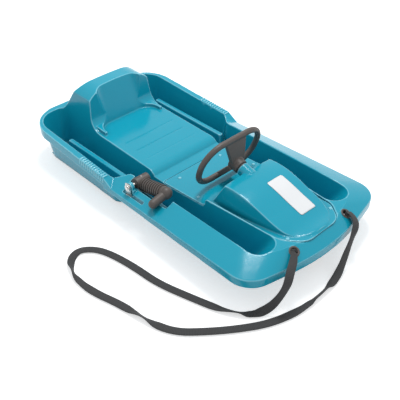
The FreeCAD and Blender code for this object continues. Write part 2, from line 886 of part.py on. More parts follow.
def tub_shell():
    """The moulded tub, an even wall all over, open underneath."""
    outer = tub_forms(0.0, False)
    shell = outer[0].fuse(outer[1:])
    for form in tub_forms(S.wall, True):
        shell = shell.cut(form)
    space = hollows(0.0)
    pockets = hollows(S.wall).cut(space)
    shell = shell.cut(space)
    deep = tub_forms(0.0, True)
    shell = shell.fuse(pockets.common(deep[0].fuse(deep[1:])))
    additions = [
        post(S.king_x, 0.0, S.king_boss_bottom, S.king_boss_rim, S.king_boss_diameter),
        brake_lug(),
    ]
    for x, y in screw_places():
        under = shelf_at(x) - S.wall / 2
        additions.append(post(x, y, under - S.screw_length, under, S.screw_boss_diameter))
    for side in both_sides(runner(S.runner_inner_y, S.runner_front_x)):
        additions.append(side)
    for side in both_sides(runner(S.runner_outer_y, S.runner_outer_front_x)):
        additions.append(side)
    for rib in grip_ribs():
        additions += both_sides(rib)
    shell = shell.fuse(additions)
    removals = [
        box(
            (S.hatch_rear_x, -S.hatch_half_width, shelf_at(S.hatch_rear_x) - S.overrun),
            (S.hatch_front_x, S.hatch_half_width, S.plateau_height + S.overrun),
        ),
        post(S.king_x, 0.0, 0.0, S.high, S.king_bolt_diameter + 2 * S.running_clearance),
        post(S.king_x, 0.0, S.king_boss_top, S.high, S.king_pocket_diameter),
        brake_bore(S.lug_inner_y - S.lug_width - S.overrun, S.lug_width + 2 * S.overrun),
        box(
            (S.slot_rear_x, claw_y() - S.slot_margin, S.skirt_bottom),
            (S.slot_front_x, claw_y() + S.claw_thickness + S.claw_gap, S.high),
        ),
    ]
    for side in (-1, 1):
        y = side * S.strap_hole_y
        removals.append(post(S.strap_hole_x, y, S.skirt_bottom, S.high, S.strap_hole_diameter))
    for x, y in screw_places():
        top = shelf_at(x) + S.overrun
        bottom = shelf_at(x) + S.plate_thickness - S.screw_length
        removals.append(post(x, y, bottom, top, S.screw_diameter))
    removals += seat_grooves()
    shell = shell.cut(removals).removeSplitter()
    keep_shape("tub_shell", shell)


tub_shell()


# Steering axis: places along it are counted from where it meets the hood, forward and down

SLOPE = math.radians(S.axis_slope_degrees)
AXIS = Vector(math.cos(SLOPE), 0, -math.sin(SLOPE))
DOWN = Vector(-math.sin(SLOPE), 0, -math.cos(SLOPE))
LEFT = Vector(0, 1, 0)
ON_AXIS = Rotation(DOWN, LEFT, AXIS, "ZXY")


def axis_place(place, down=0.0, left=0.0, turn=None):
    """Placement on the steering axis: local Z forward, X down and Y to the rider's left."""
    base = Vector(S.axis_foot_x, 0, S.axis_foot_height) + AXIS * place + DOWN * down + LEFT * left
    return Placement(base, ON_AXIS * turn if turn else ON_AXIS)


def axis_cutter(place, length, diameter):
    """Cutter along the steering axis."""
    cutter = Part.makeCylinder(diameter / 2, length)
    cutter.Placement = axis_place(place)
    return cutter


# Hood over the steering gear

def hood_section(x, half, height, inset):
    """Cross section of the hood: leaning sides under a slightly arched top."""
    bottom = shelf_at(x) - S.overrun if inset else shelf_at(x) + S.plate_thickness / 2
    lean = S.hood_side_lean * (height - bottom) / (S.hood_crown_height - shelf_at(S.hood_crown_x))
    top = half - inset
    corners = [
        Vector(x, -top - lean, bottom),
        Vector(x, top + lean, bottom),
        Vector(x, top, height - inset),
        Vector(x, 0, height + S.hood_arch - inset),
        Vector(x, -top, height - inset),
    ]
    return Part.Wire([
        Part.LineSegment(corners[0], corners[1]).toShape(),
        Part.LineSegment(corners[1], corners[2]).toShape(),
        Part.Arc(corners[2], corners[3], corners[4]).toShape(),
        Part.LineSegment(corners[4], corners[0]).toShape(),
    ])


def hood(inset):
    """Hood over the steering gear: steep at the rear, then falling to the nose."""
    def above_plate(x):
        return shelf_at(x) + S.plate_thickness + S.hood_lip_rise

    rear = hood_section(S.hood_rear_x + inset, S.hood_rear_half, above_plate(S.hood_rear_x), inset)
    stations = [
        (S.hood_brow_x + inset / 2, S.hood_brow_half, S.hood_brow_height),
        (S.hood_crown_x, S.hood_brow_half, S.hood_crown_height),
        (S.hood_back_x, S.hood_brow_half, S.hood_back_height),
        (S.hood_mid_x, S.hood_mid_half, S.hood_mid_height),
        (S.hood_fall_x, S.hood_fall_half, S.hood_fall_height),
        (S.hood_front_x, S.hood_front_half, S.hood_front_height),
        (S.hood_nose_x - inset, S.hood_nose_half, above_plate(S.hood_nose_x)),
        (S.hood_lip_x - inset, S.hood_lip_half, above_plate(S.hood_lip_x) - S.hood_lip_rise / 2),
        (S.hood_tip_x - inset, S.hood_tip_half, above_plate(S.hood_tip_x) - S.hood_lip_rise),
    ]
    wires = [hood_section(x, half, height, inset) for x, half, height in stations]
    return loft(rear, wires[0]).fuse(Part.makeLoft(wires, True, False))


def console_cover():
    """Platform plate, hood, shaft boss and the rib that carries the front bush."""
    plan = console_outline()
    plate = loft(
        corner_wire(plan, shelf_at),
        corner_wire(plan, lambda x: shelf_at(x) + S.plate_thickness),
    )
    outer = hood(0.0)
    rib = Part.makeBox(
        S.rib_below + S.high,
        2 * S.rib_half_width,
        S.rib_thickness,
        Vector(-S.high, -S.rib_half_width, 0),
    )
    rib.Placement = axis_place(S.front_bush_start)
    boss = axis_cutter(-S.boss_proud, S.boss_length, S.boss_diameter)
    cover = plate.fuse(outer).cut(hood(S.hood_wall)).fuse([boss, rib.common(outer)])
    bores = [
        axis_cutter(-S.boss_proud - S.overrun, S.boss_length + 2 * S.overrun, S.bush_diameter),
        axis_cutter(S.front_bush_start - S.overrun, S.rib_thickness + 2 * S.overrun, S.bush_diameter),
    ]
    for x, y in screw_places():
        hole = S.screw_diameter + S.screw_diameter / 10
        bores.append(post(x, y, shelf_at(x) - S.overrun, shelf_at(x) + S.overrun, hole))
    keep_shape("console_cover", cover.cut(bores).removeSplitter())


def console_screws():
    """Six screws that hold the hood's plate to the tub."""
    pieces = []
    for number, (x, y) in enumerate(screw_places(), 1):
        top = shelf_at(x) + S.plate_thickness + S.skid_clearance
        shank = primitive(
            "Part::Cylinder",
            f"ScrewShank{number}",
            Placement(Vector(x, y, top - S.screw_length), Rotation()),
            Radius=S.screw_diameter / 2,
            Height=S.screw_length,
        )
        head = primitive(
            "Part::Cone",
            f"ScrewHead{number}",
            Placement(Vector(x, y, top), Rotation()),
            Radius1=S.screw_head_diameter / 2,
            Radius2=S.screw_head_diameter / 2 * HEAD_TAPER_SHARE,
            Height=S.screw_head_height,
        )
        pieces.append(fuse(f"Screw{number}", [shank, head]))
    group = DOC.addObject("Part::Compound", "ScrewGroup")
    group.Links = pieces
    keep("console_screws", group)


console_cover()
console_screws()


# Steering wheel and its fixings

HUB_FRONT = -(S.boss_proud + S.bush_flange + S.wheel_gap)
HUB_REAR = HUB_FRONT - S.wheel_hub_length


def wheel_rim():
    """Rounded rectangle of tube, in the wheel's own plane."""
    tube = S.wheel_tube / 2
    half_down = S.wheel_height / 2 - tube
    half_left = S.wheel_width / 2 - tube
    corner_down = half_down - S.wheel_corner_radius
    corner_left = half_left - S.wheel_corner_radius
    pieces = []
    quarters = [(1, 1, 0), (-1, 1, 90), (-1, -1, 180), (1, -1, 270)]
    for number, (down, left, degrees) in enumerate(quarters, 1):
        turn = Rotation(Vector(0, 0, 1), degrees)
        place = axis_place(-S.wheel_dish, down * corner_down, left * corner_left, turn)
        pieces.append(primitive(
            "Part::Torus",
            f"RimCorner{number}",
            place,
            Radius1=S.wheel_corner_radius,
            Radius2=tube,
        ))
        pieces[-1].Angle3 = 90
    along_left = Rotation(Vector(1, 0, 0), -90)
    along_down = Rotation(Vector(0, 1, 0), 90)
    for number, side in enumerate((-1, 1), 1):
        pieces.append(primitive(
            "Part::Cylinder",
            f"RimLong{number}",
            axis_place(-S.wheel_dish, side * half_down, -corner_left, along_left),
            Radius=tube,
            Height=2 * corner_left,
        ))
        pieces.append(primitive(
            "Part::Cylinder",
            f"RimShort{number}",
            axis_place(-S.wheel_dish, -corner_down, side * half_left, along_down),
            Radius=tube,
            Height=2 * corner_down,
        ))
    return pieces


def wheel_spokes():
    """Upper and lower web from the hub to the long sides of the rim."""
    spokes = []
    webs = ((90, S.spoke_top_half), (-90, S.spoke_foot_half))
    for number, (degrees, rim_half) in enumerate(webs, 1):
        turn = Rotation(Vector(0, 0, 1), degrees)
        spokes.append(primitive(
            "Part::Wedge",
            f"Spoke{number}",
            axis_place(0.0, turn=turn),
            Ymin=S.wheel_hub_diameter / 4,
            Ymax=S.wheel_height / 2 - S.wheel_tube / 2,
            Xmin=-S.spoke_hub_half,
            Xmax=S.spoke_hub_half,
            X2min=-rim_half,
            X2max=rim_half,
            Zmin=HUB_REAR + S.wheel_washer_thickness,
            Zmax=HUB_REAR + S.wheel_washer_thickness + S.spoke_hub_thickness,
            Z2min=-S.wheel_dish - S.spoke_rim_thickness / 2,
            Z2max=-S.wheel_dish + S.spoke_rim_thickness / 2,
        ))
    return spokes


def steering_wheel():
    hub = primitive(
        "Part::Cylinder",
        "WheelHub",
        axis_place(HUB_REAR),
        Radius=S.wheel_hub_diameter / 2,
        Height=S.wheel_hub_length,
    )
    bore = primitive(
        "Part::Cylinder",
        "WheelBore",
        axis_place(HUB_REAR - S.overrun),
        Radius=S.shaft_diameter / 2,
        Height=S.wheel_hub_length + 2 * S.overrun,
    )
    middle = fuse("WheelMiddle", wheel_spokes() + [hub])
    body = fuse("WheelBody", [fuse("WheelRim", wheel_rim()), middle])
    keep("steering_wheel", cut("Wheel", body, bore))


def wheel_fixings():
    """Washer and screw that hold the wheel on its shaft."""
    washer = primitive(
        "Part::Cylinder",
        "WasherDisc",
        axis_place(HUB_REAR - S.wheel_washer_thickness),
        Radius=S.wheel_washer_diameter / 2,
        Height=S.wheel_washer_thickness,
    )
    hole = primitive(
        "Part::Cylinder",
        "WasherHole",
        axis_place(HUB_REAR - S.wheel_washer_thickness),
        Radius=S.wheel_screw_diameter / 2,
        Height=S.wheel_washer_thickness,
    )
    keep("wheel_washer", cut("WheelWasher", washer, hole))
    seat = HUB_REAR - S.wheel_washer_thickness
    head = primitive(
        "Part::Cylinder",
        "WheelScrewHead",
        axis_place(seat - S.wheel_screw_head_height),
        Radius=S.wheel_screw_head / 2,
        Height=S.wheel_screw_head_height,
    )
    shank = primitive(
        "Part::Cylinder",
        "WheelScrewShank",
        axis_place(seat),
        Radius=S.wheel_screw_diameter / 2,
        Height=S.wheel_washer_thickness + S.wheel_screw_depth,
    )
    socket = primitive(
        "Part::Prism",
        "WheelScrewSocket",
        axis_place(seat - S.wheel_screw_head_height),
        Circumradius=S.wheel_screw_diameter / 2,
        Height=S.wheel_screw_head_height / 2,
    )
    socket.Polygon = 6
    keep("wheel_screw", cut("WheelScrew", fuse("WheelScrewBody", [head, shank]), socket))


steering_wheel()
wheel_fixings()


# Shaft, bushes, retainer and crank

def steering_shaft():
    rod = primitive(
        "Part::Cylinder",
        "ShaftRod",
        axis_place(HUB_REAR),
        Radius=S.shaft_diameter / 2,
        Height=S.shaft_front - HUB_REAR,
    )
    thread = primitive(
        "Part::Cylinder",
        "ShaftThread",
        axis_place(HUB_REAR),
        Radius=S.wheel_screw_diameter / 2,
        Height=S.wheel_screw_depth,
    )
    cross = primitive(
        "Part::Cylinder",
        "ShaftPinHole",
        axis_place(S.crank_place, left=-S.shaft_diameter, turn=Rotation(Vector(1, 0, 0), -90)),
        Radius=S.crank_pin_diameter / 2,
        Height=2 * S.shaft_diameter,
    )
    keep("steering_shaft", cut("Shaft", cut("ShaftBored", rod, thread), cross))


def bush(label, start, length):
    """Flanged bush: press fit outside, running fit on the shaft."""
    sleeve = primitive(
        "Part::Cylinder",
        f"{label}Sleeve",
        axis_place(start),
        Radius=S.bush_diameter / 2,
        Height=length,
    )
    flange = primitive(
        "Part::Cylinder",
        f"{label}Flange",
        axis_place(start - S.bush_flange),
        Radius=S.bush_flange_diameter / 2,
        Height=S.bush_flange,
    )
    bore = primitive(
        "Part::Cylinder",
        f"{label}Bore",
        axis_place(start - S.bush_flange),
        Radius=S.shaft_diameter / 2 + S.running_clearance,
        Height=length + S.bush_flange,
    )
    keep(label, cut(f"{label}Bush", fuse(f"{label}Body", [sleeve, flange]), bore))


def shaft_retainer():
    start = S.front_bush_start + S.rib_thickness + S.skid_clearance
    ring = primitive(
        "Part::Cylinder",
        "RetainerRing",
        axis_place(start),
        Radius=S.retainer_diameter / 2,
        Height=S.retainer_thickness,
    )
    bore = primitive(
        "Part::Cylinder",
        "RetainerBore",
        axis_place(start),
        Radius=S.shaft_diameter / 2,
        Height=S.retainer_thickness,
    )
    keep("shaft_retainer", cut("Retainer", ring, bore))


def steering_crank():
    """Hub, arm and ball end; the ball works in the skid's fork."""
    hub = primitive(
        "Part::Cylinder",
        "CrankHub",
        axis_place(S.crank_place - S.crank_hub_length / 2),
        Radius=S.crank_hub_diameter / 2,
        Height=S.crank_hub_length,
    )
    arm = primitive(
        "Part::Wedge",
        "CrankArm",
        axis_place(S.crank_place, turn=Rotation(Vector(0, 0, 1), -90)),
        Ymin=S.crank_hub_diameter / 4,
        Ymax=S.crank_reach - S.crank_neck_length * SPOKE_TAPER_SHARE,
        Xmin=-S.crank_arm_half,
        Xmax=S.crank_arm_half,
        X2min=-S.crank_arm_half * SPOKE_TAPER_SHARE,
        X2max=S.crank_arm_half * SPOKE_TAPER_SHARE,
        Zmin=-S.crank_arm_thickness / 2,
        Zmax=S.crank_arm_thickness / 2,
        Z2min=-S.crank_arm_thickness / 2,
        Z2max=S.crank_arm_thickness / 2,
    )
    neck = primitive(
        "Part::Cylinder",
        "CrankNeck",
        axis_place(
            S.crank_place,
            down=S.crank_reach - S.crank_neck_length,
            turn=Rotation(Vector(0, 1, 0), 90),
        ),
        Radius=S.crank_neck_diameter / 2,
        Height=S.crank_neck_length,
    )
    ball = primitive(
        "Part::Sphere",
        "CrankBall",
        axis_place(S.crank_place, down=S.crank_reach),
        Radius=S.crank_ball_diameter / 2,
    )
    bore = primitive(
        "Part::Cylinder",
        "CrankBore",
        axis_place(S.crank_place - S.crank_hub_length),
        Radius=S.shaft_diameter / 2,
        Height=2 * S.crank_hub_length,
    )
    across = Rotation(Vector(1, 0, 0), -90)
    cross = primitive(
        "Part::Cylinder",
        "CrankPinHole",
        axis_place(S.crank_place, left=-S.crank_hub_diameter, turn=across),
        Radius=S.crank_pin_diameter / 2,
        Height=2 * S.crank_hub_diameter,
    )
    body = fuse("CrankBody", [hub, arm, neck, ball])
    keep("steering_crank", cut("Crank", cut("CrankBored", body, bore), cross))
    keep("crank_pin", primitive(
        "Part::Cylinder",
        "CrankPin",
        axis_place(S.crank_place, left=-S.crank_hub_diameter / 2, turn=across),
        Radius=S.crank_pin_diameter / 2,
        Height=S.crank_hub_diameter,
    ))


steering_shaft()
bush("shaft_bush_rear", -S.boss_proud, S.bush_length)
bush("shaft_bush_front", S.front_bush_start, S.rib_thickness)
shaft_retainer()
steering_crank()


# PartDesign helpers

def plane_of(body, role):
    """One of a body's own origin planes."""
    for feature in body.Origin.OriginFeatures:
        if feature.Role == role:
            return feature
    raise RuntimeError(f"no plane {role}")


def polygon_sketch(body, name, role, points):
    """Closed sketch whose corners are tied to the sheet."""
    sketch = body.newObject("Sketcher::SketchObject", name)
    sketch.AttachmentSupport = [(plane_of(body, role), "")]
    sketch.MapMode = "FlatFace"
    count = len(points)
    for i, (across, up) in enumerate(points):
        after = points[(i + 1) % count]
        start = Vector(float(across), float(up), 0)
        sketch.addGeometry(Part.LineSegment(start, Vector(float(after[0]), float(after[1]), 0)), False)
    for i in range(count):
        sketch.addConstraint(Sketcher.Constraint("Coincident", i, 2, (i + 1) % count, 1))
    for i, (across, up) in enumerate(points):
        for kind, value, axis in (("DistanceX", across, -2), ("DistanceY", up, -1)):
            if abs(value) < 1e-9:
                sketch.addConstraint(Sketcher.Constraint("PointOnObject", i, 1, axis))
                continue
            index = sketch.addConstraint(Sketcher.Constraint(kind, -1, 1, i, 1, float(value)))
            sketch.setExpression(f"Constraints[{index}]", text_of(value))
    return sketch


def pad(body, name, sketch, thickness):
    """Pad to both sides of the sketch."""
    feature = bind(body.newObject("PartDesign::Pad", name), Length=thickness)
    feature.Profile = sketch
    feature.Midplane = True
    sketch.Visibility = False
    return feature


def solid_in(body, kind, name, base, rotation=None, **sizes):
    """Additive or subtractive primitive in a body, placed from the body's origin."""
    feature = body.newObject(f"PartDesign::{kind}", name)
    feature.AttachmentSupport = [(plane_of(body, "XY_Plane"), "")]
    feature.MapMode = "FlatFace"
    place = Vector(*[float(value) for value in base])
    feature.AttachmentOffset = Placement(place, rotation or Rotation())
    for axis, value in zip("xyz", base):
        if abs(value) > 1e-9:
            feature.setExpression(f"AttachmentOffset.Base.{axis}", text_of(value))
    return bind(feature, **sizes)


def body_at(name, x, y, z):
    """A body whose origin is tied to the sheet."""
    body = DOC.addObject("PartDesign::Body", name)
    body.Placement = Placement(Vector(float(x), float(y), float(z)), Rotation())
    for axis, value in zip("xyz", (x, y, z)):
        if abs(value) > 1e-9:
            body.setExpression(f"Placement.Base.{axis}", text_of(value))
    return body


ALONG_Y = Rotation(Vector(1, 0, 0), -90)


# Steering skid on its king bolt

def steering_skid():
    body = body_at("SkidBody", S.king_x, 0.0, 0.0)
    low = S.skid_ground_gap
    top = low + S.skid_sole
    points = [
        (-S.skid_rear, top),
        (-S.skid_rear, low),
        (S.skid_flat_front, low),
        (S.skid_tip, low + S.skid_tip_rise),
        (S.skid_tip - S.skid_sole / 2, top + S.skid_tip_rise),
        (S.skid_flat_front - S.skid_sole / 2, top),
    ]
    sole = pad(body, "SkidSole", polygon_sketch(body, "SkidProfile", "XZ_Plane", points), S.skid_width)
    DOC.recompute()
    ends = []
    for number, edge in enumerate(sole.Shape.Edges, 1):
        middle = edge.CenterOfMass
        tip = middle.x > S.skid_tip - S.skid_sole and middle.z > low + S.skid_tip_rise / 2
        heel = middle.x < S.skid_sole / 4 - S.skid_rear
        side = abs(abs(middle.y) - S.skid_width / 2) < S.running_clearance
        upright = abs(edge.Vertexes[0].Z - edge.Vertexes[-1].Z) > S.skid_sole / 3
        if side and upright and (tip or heel):
            ends.append(f"Edge{number}")
    fillet = bind(body.newObject("PartDesign::Fillet", "SkidEnds"), Radius=S.skid_corner_radius)
    fillet.Base = (sole, ends)
    stem_top = S.king_boss_bottom - S.skid_clearance
    solid_in(body, "AdditiveCylinder", "SkidStem", (0.0, 0.0, low + S.skid_sole / 2),
             Radius=S.skid_stem_diameter / 2, Height=stem_top - low - S.skid_sole / 2)
    fork = S.king_x - ball_centre().x
    ball_up = ball_centre().z
    rear = -(fork + S.fork_rear_overlap)
    solid_in(body, "AdditiveBox", "SkidTiller", (rear, -S.tiller_half_width, S.tiller_bottom),
             Length=-rear, Width=2 * S.tiller_half_width, Height=S.tiller_top - S.tiller_bottom)
    slot = S.crank_ball_diameter / 2 + S.fork_clearance
    for name, y in (("ForkLeft", slot), ("ForkRight", -slot - S.fork_prong)):
        solid_in(body, "AdditiveBox", name, (rear, y, S.tiller_bottom),
                 Length=S.fork_rear_overlap + S.fork_front_overlap, Width=S.fork_prong,
                 Height=ball_up + S.fork_rise - S.tiller_bottom)
    solid_in(body, "SubtractiveCylinder", "SkidHeadPocket", (0.0, 0.0, 0.0),
             Radius=S.skid_head_pocket / 2, Height=king_head_top() + S.skid_clearance)
    solid_in(body, "SubtractiveCylinder", "SkidBore", (0.0, 0.0, 0.0),
             Radius=S.king_bolt_diameter / 2 + S.running_clearance, Height=S.king_boss_bottom)
    keep("steering_skid", body)


def ball_centre():
    return Vector(S.axis_foot_x, 0, S.axis_foot_height) + AXIS * S.crank_place + DOWN * S.crank_reach


def king_head_top():
    """Top of the king bolt's head, which carries the skid."""
    return S.skid_ground_gap + S.skid_ground_gap + S.king_head_height


def king_bolt():
    hexagon = primitive(
        "Part::Prism",
        "KingHead",
        Placement(Vector(S.king_x, 0, king_head_top() - S.king_head_height), Rotation()),
        Circumradius=S.king_head_across / math.sqrt(3),
        Height=S.king_head_height,
    )
    hexagon.Polygon = 6
    nut_bottom = S.king_boss_top + S.king_washer_thickness
    top = nut_bottom + S.king_nut_height + S.king_bolt_proud
    shank = primitive(
        "Part::Cylinder",
        "KingShank",
        Placement(Vector(S.king_x, 0, king_head_top()), Rotation()),
        Radius=S.king_bolt_diameter / 2,
        Height=top - king_head_top(),
    )
    keep("king_bolt", fuse("KingBolt", [hexagon, shank]))
    washer = primitive(
        "Part::Cylinder",
        "KingWasherDisc",
        Placement(Vector(S.king_x, 0, S.king_boss_top), Rotation()),
        Radius=S.king_washer_diameter / 2,
        Height=S.king_washer_thickness,
    )
    nut = primitive(
        "Part::Prism",
        "KingNutHexagon",
        Placement(Vector(S.king_x, 0, nut_bottom), Rotation()),
        Circumradius=S.king_head_across / math.sqrt(3),
        Height=S.king_nut_height,
    )
    nut.Polygon = 6
    for label, name, blank in (("king_washer", "KingWasher", washer), ("king_nut", "KingNut", nut)):
        bore = primitive(
            "Part::Cylinder",
            f"{name}Bore",
            Placement(Vector(S.king_x, 0, S.king_boss_bottom), Rotation()),
            Radius=S.king_bolt_diameter / 2,
            Height=S.high,
        )
        keep(label, cut(name, blank, bore))


steering_skid()
king_bolt()


# Brake on the rider's right

def brake_lever():
    """Round ribbed grip on its hub, with a hooked end that reaches outwards over the fender."""
    body = body_at("LeverBody", S.brake_x, S.lever_inner_y - S.lever_width / 2, S.brake_height)
    half = S.lever_width / 2
    rise = math.radians(S.grip_rise_degrees)
    along = Vector(math.cos(rise), 0, math.sin(rise))
    lean = Rotation(Vector(0, 0, 1), along)
    solid_in(body, "AdditiveCylinder", "LeverHub", (0.0, -half, 0.0), ALONG_Y,
             Radius=S.lever_hub_diameter / 2, Height=S.lever_width)
    solid_in(body, "AdditiveSphere", "LeverHeel", (0.0, 0.0, -S.grip_drop), Radius=S.grip_diameter / 2)
    solid_in(body, "AdditiveCylinder", "LeverGrip", (0.0, 0.0, -S.grip_drop), lean,
             Radius=S.grip_diameter / 2, Height=S.lever_grip_length)
    elbow = (S.lever_grip_length * along.x, 0.0, S.lever_grip_length * along.z - S.grip_drop)
    solid_in(body, "AdditiveSphere", "LeverElbow", elbow, Radius=S.elbow_diameter / 2)
    reach = Vector(0, -float(S.hook_reach), -float(S.hook_drop))
    solid_in(body, "AdditiveCylinder", "LeverHook", elbow, Rotation(Vector(0, 0, 1), reach),
             Radius=S.hook_diameter / 2, Height=S.hook_reach)
    share = S.hook_reach / reach.Length
    tip = (elbow[0], -S.hook_reach * share, elbow[2] - S.hook_drop * share)
    solid_in(body, "AdditiveSphere", "LeverTip", tip, Radius=S.hook_diameter / 2)
    for i in range(10):
        place = S.ring_start + S.ring_pitch * i
        base = (place * along.x, 0.0, place * along.z - S.grip_drop)
        solid_in(body, "AdditiveCylinder", f"LeverRing{i + 1}", base, lean,
                 Radius=S.ring_diameter / 2, Height=S.ring_length)
    solid_in(body, "SubtractiveCylinder", "LeverBore", (0.0, -S.lever_width, 0.0), ALONG_Y,
             Radius=S.brake_pin_diameter / 2, Height=2 * S.lever_width)
    solid_in(body, "SubtractiveCylinder", "LeverPinHole", (0.0, 0.0, -2 * S.lever_hub_diameter),
             Radius=S.lever_pin_diameter / 2, Height=4 * S.lever_hub_diameter)
    keep("brake_lever", body)
    keep("lever_pin", primitive(
        "Part::Cylinder",
        "LeverPin",
        Placement(
            Vector(S.brake_x, S.lever_inner_y - half, S.brake_height - S.lever_hub_diameter / 2),
            Rotation(),
        ),
        Radius=S.lever_pin_diameter / 2,
        Height=S.lever_hub_diameter,
    ))


def brake_pin():
    end = claw_y() - S.push_nut_thickness - S.claw_gap
    across = Rotation(Vector(1, 0, 0), -90)
    rod = primitive(
        "Part::Cylinder",
        "BrakePinRod",
        Placement(Vector(S.brake_x, end, S.brake_height), across),
        Radius=S.brake_pin_diameter / 2,
        Height=S.lever_inner_y - end,
    )
    head = primitive(
        "Part::Cylinder",
        "BrakePinHead",
        Placement(Vector(S.brake_x, S.lever_inner_y, S.brake_height), across),
        Radius=S.brake_pin_head_diameter / 2,
        Height=S.brake_pin_head,
    )
    middle = S.lever_inner_y - S.lever_width / 2
    hole = primitive(
        "Part::Cylinder",
        "BrakePinHole",
        Placement(Vector(S.brake_x, middle, S.brake_height - S.lever_hub_diameter), Rotation()),
        Radius=S.lever_pin_diameter / 2,
        Height=2 * S.lever_hub_diameter,
    )
    keep("brake_pivot_pin", cut("BrakePin", fuse("BrakePinBody", [rod, head]), hole))
    disc = primitive(
        "Part::Cylinder",
        "PushNutDisc",
        Placement(Vector(S.brake_x, claw_y() - S.push_nut_thickness, S.brake_height), across),
        Radius=S.push_nut_diameter / 2,
        Height=S.push_nut_thickness,
    )
    bore = primitive(
        "Part::Cylinder",
        "PushNutBore",
        Placement(Vector(S.brake_x, claw_y() - S.push_nut_thickness, S.brake_height), across),
        Radius=S.brake_pin_diameter / 2,
        Height=S.push_nut_thickness,
    )
    keep("claw_push_nut", cut("PushNut", disc, bore))


def brake_claw():
    """Bent steel blade: down through the fender's slot, then back under the rim."""
    body = body_at("ClawBody", S.brake_x, claw_y() + S.claw_thickness / 2, S.brake_height)
    low = S.claw_level - S.brake_height
    points = [
        (-S.claw_hub_half, S.claw_hub_half),
        (-S.claw_hub_half, low + S.claw_half_width),
        (S.claw_half_width - S.claw_length, low + S.claw_half_width),
        (-S.claw_length, low - S.claw_half_width),
        (S.claw_half_width, low - S.claw_half_width),
        (S.claw_hub_half, low),
        (S.claw_hub_half, S.claw_hub_half),
    ]
    pad(body, "ClawBlade", polygon_sketch(body, "ClawProfile", "XZ_Plane", points), S.claw_thickness)
    DOC.recompute()
    solid_in(body, "SubtractiveCylinder", "ClawBore", (0.0, -S.claw_thickness, 0.0), ALONG_Y,
             Radius=S.brake_pin_diameter / 2, Height=2 * S.claw_thickness)
    keep("brake_claw", body)


brake_lever()
brake_pin()
brake_claw()


# Tow strap: a round cord stands for the webbing, from knot to knot

def strap_route():
    """Corner points of the strap, from the knot on the rider's right round to the left one."""
    radius = S.strap_tube_diameter / 2
    floor = radius + S.strap_tube_diameter / 40
    x, y = S.strap_hole_x, S.strap_hole_y
    knot_top = S.strap_knot_height + S.strap_knot_length / 2
    right_end = [(x, -y, knot_top), (x, -y - 1, 124), (459, -118, 119), (476, -146, 113), (484, -160, 84)]
    right_end += [(478, -176, 48), (468, -196, 18), (452, -226, floor)]
    lay = [
        (424, -262), (379, -286), (300, -310), (218, -333), (134, -338), (60, -350), (14, -368),
        (-14, -404), (8, -444), (60, -467), (132, -464), (210, -441), (300, -428), (360, -406),
        (408, -354), (450, -300), (488, -240), (510, -172), (517, -106), (514, -40),
    ]
    left_end = [(507, 10, 12), (495, 52, 40), (490, 82, 82), (484, 104, 112), (462, 108, 122)]
    left_end += [(x, y + 1, 123), (x, y, knot_top)]
    return right_end + [(across, along, floor) for across, along in lay] + left_end


def rounded_path(points):
    """Straight runs joined by tangent arcs."""
    corners = [Vector(*point) for point in points]
    edges = []
    at = corners[0]
    radii = []
    for i in range(1, len(corners) - 1):
        to_before = corners[i - 1] - corners[i]
        to_after = corners[i + 1] - corners[i]
        run = min(to_before.Length, to_after.Length) * PATH_CORNER_SHARE
        to_before.normalize()
        to_after.normalize()
        half = to_before.getAngle(to_after) / 2
        radius = run * math.tan(half)
        radii.append(radius)
        centre = corners[i] + (to_before + to_after).normalize() * (radius / math.sin(half))
        middle = centre + (corners[i] - centre).normalize() * radius
        start = corners[i] + to_before * run
        end = corners[i] + to_after * run
        edges.append(Part.LineSegment(at, start).toShape())
        edges.append(Part.Arc(start, middle, end).toShape())
        at = end
    edges.append(Part.LineSegment(at, corners[-1]).toShape())
    print("strap radii:", " ".join(f"{radius:.0f}" for radius in radii))
    return Part.Wire(edges)


def tow_strap():
    path = rounded_path(strap_route())
    start = path.Edges[0]
    way = start.tangentAt(start.FirstParameter)
    mouth = start.valueAt(start.FirstParameter)
    section = Part.Wire([Part.makeCircle(S.strap_tube_diameter / 2, mouth, way)])
    tube = path.makePipeShell([section], True, False)
    expected = path.Length * math.pi * (S.strap_tube_diameter / 2) ** 2
    print(f"strap length {path.Length:.0f} mm, volume share {tube.Volume / expected:.3f}")
    keep_shape("tow_strap", tube)
    for label, side in (("strap_knot_right", -1), ("strap_knot_left", 1)):
        waist = S.strap_knot_diameter / 2 * KNOT_WAIST_SHARE
        halves = []
        for name, turn in (("Upper", Rotation()), ("Lower", Rotation(Vector(1, 0, 0), 180))):
            halves.append(primitive(
                "Part::Cone",
                f"{name}{label}",
                Placement(Vector(S.strap_hole_x, side * S.strap_hole_y, S.strap_knot_height), turn),
                Radius1=S.strap_knot_diameter / 2,
                Radius2=waist,
                Height=S.strap_knot_length / 2,
            ))
        keep(label, fuse(f"Knot{label}", halves))


tow_strap()


def write_parts():
    """Checks every object and writes each sub-part to its own file."""
    DOC.recompute()
    for thing in DOC.Objects:
        if "Invalid" in thing.State or "Error" in thing.State:
            raise RuntimeError(f"{thing.Label} failed: {thing.State}")
    os.makedirs("parts", exist_ok=True)
    for label, thing in NODES.items():
        shape = thing.Shape
        if shape.isNull() or not shape.isValid():
            raise RuntimeError(f"{label} has no valid shape")
        shape.exportStep(os.path.join("parts", f"{label}.step"))
        print(f"{label}: {len(shape.Solids)} solid, {shape.Volume / 1000:.1f} cm3")


write_parts()
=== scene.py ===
# %% [markdown]
# # A child's steering sled, step by step
#
# The imported solids are the frame: every piece of this scene sits on them, in metres, with +X to the
# nose, +Y to the rider's left and +Z up. We load them first.

import math

import bmesh
import bpy
import numpy
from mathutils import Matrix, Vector
from mathutils.bvhtree import BVHTree


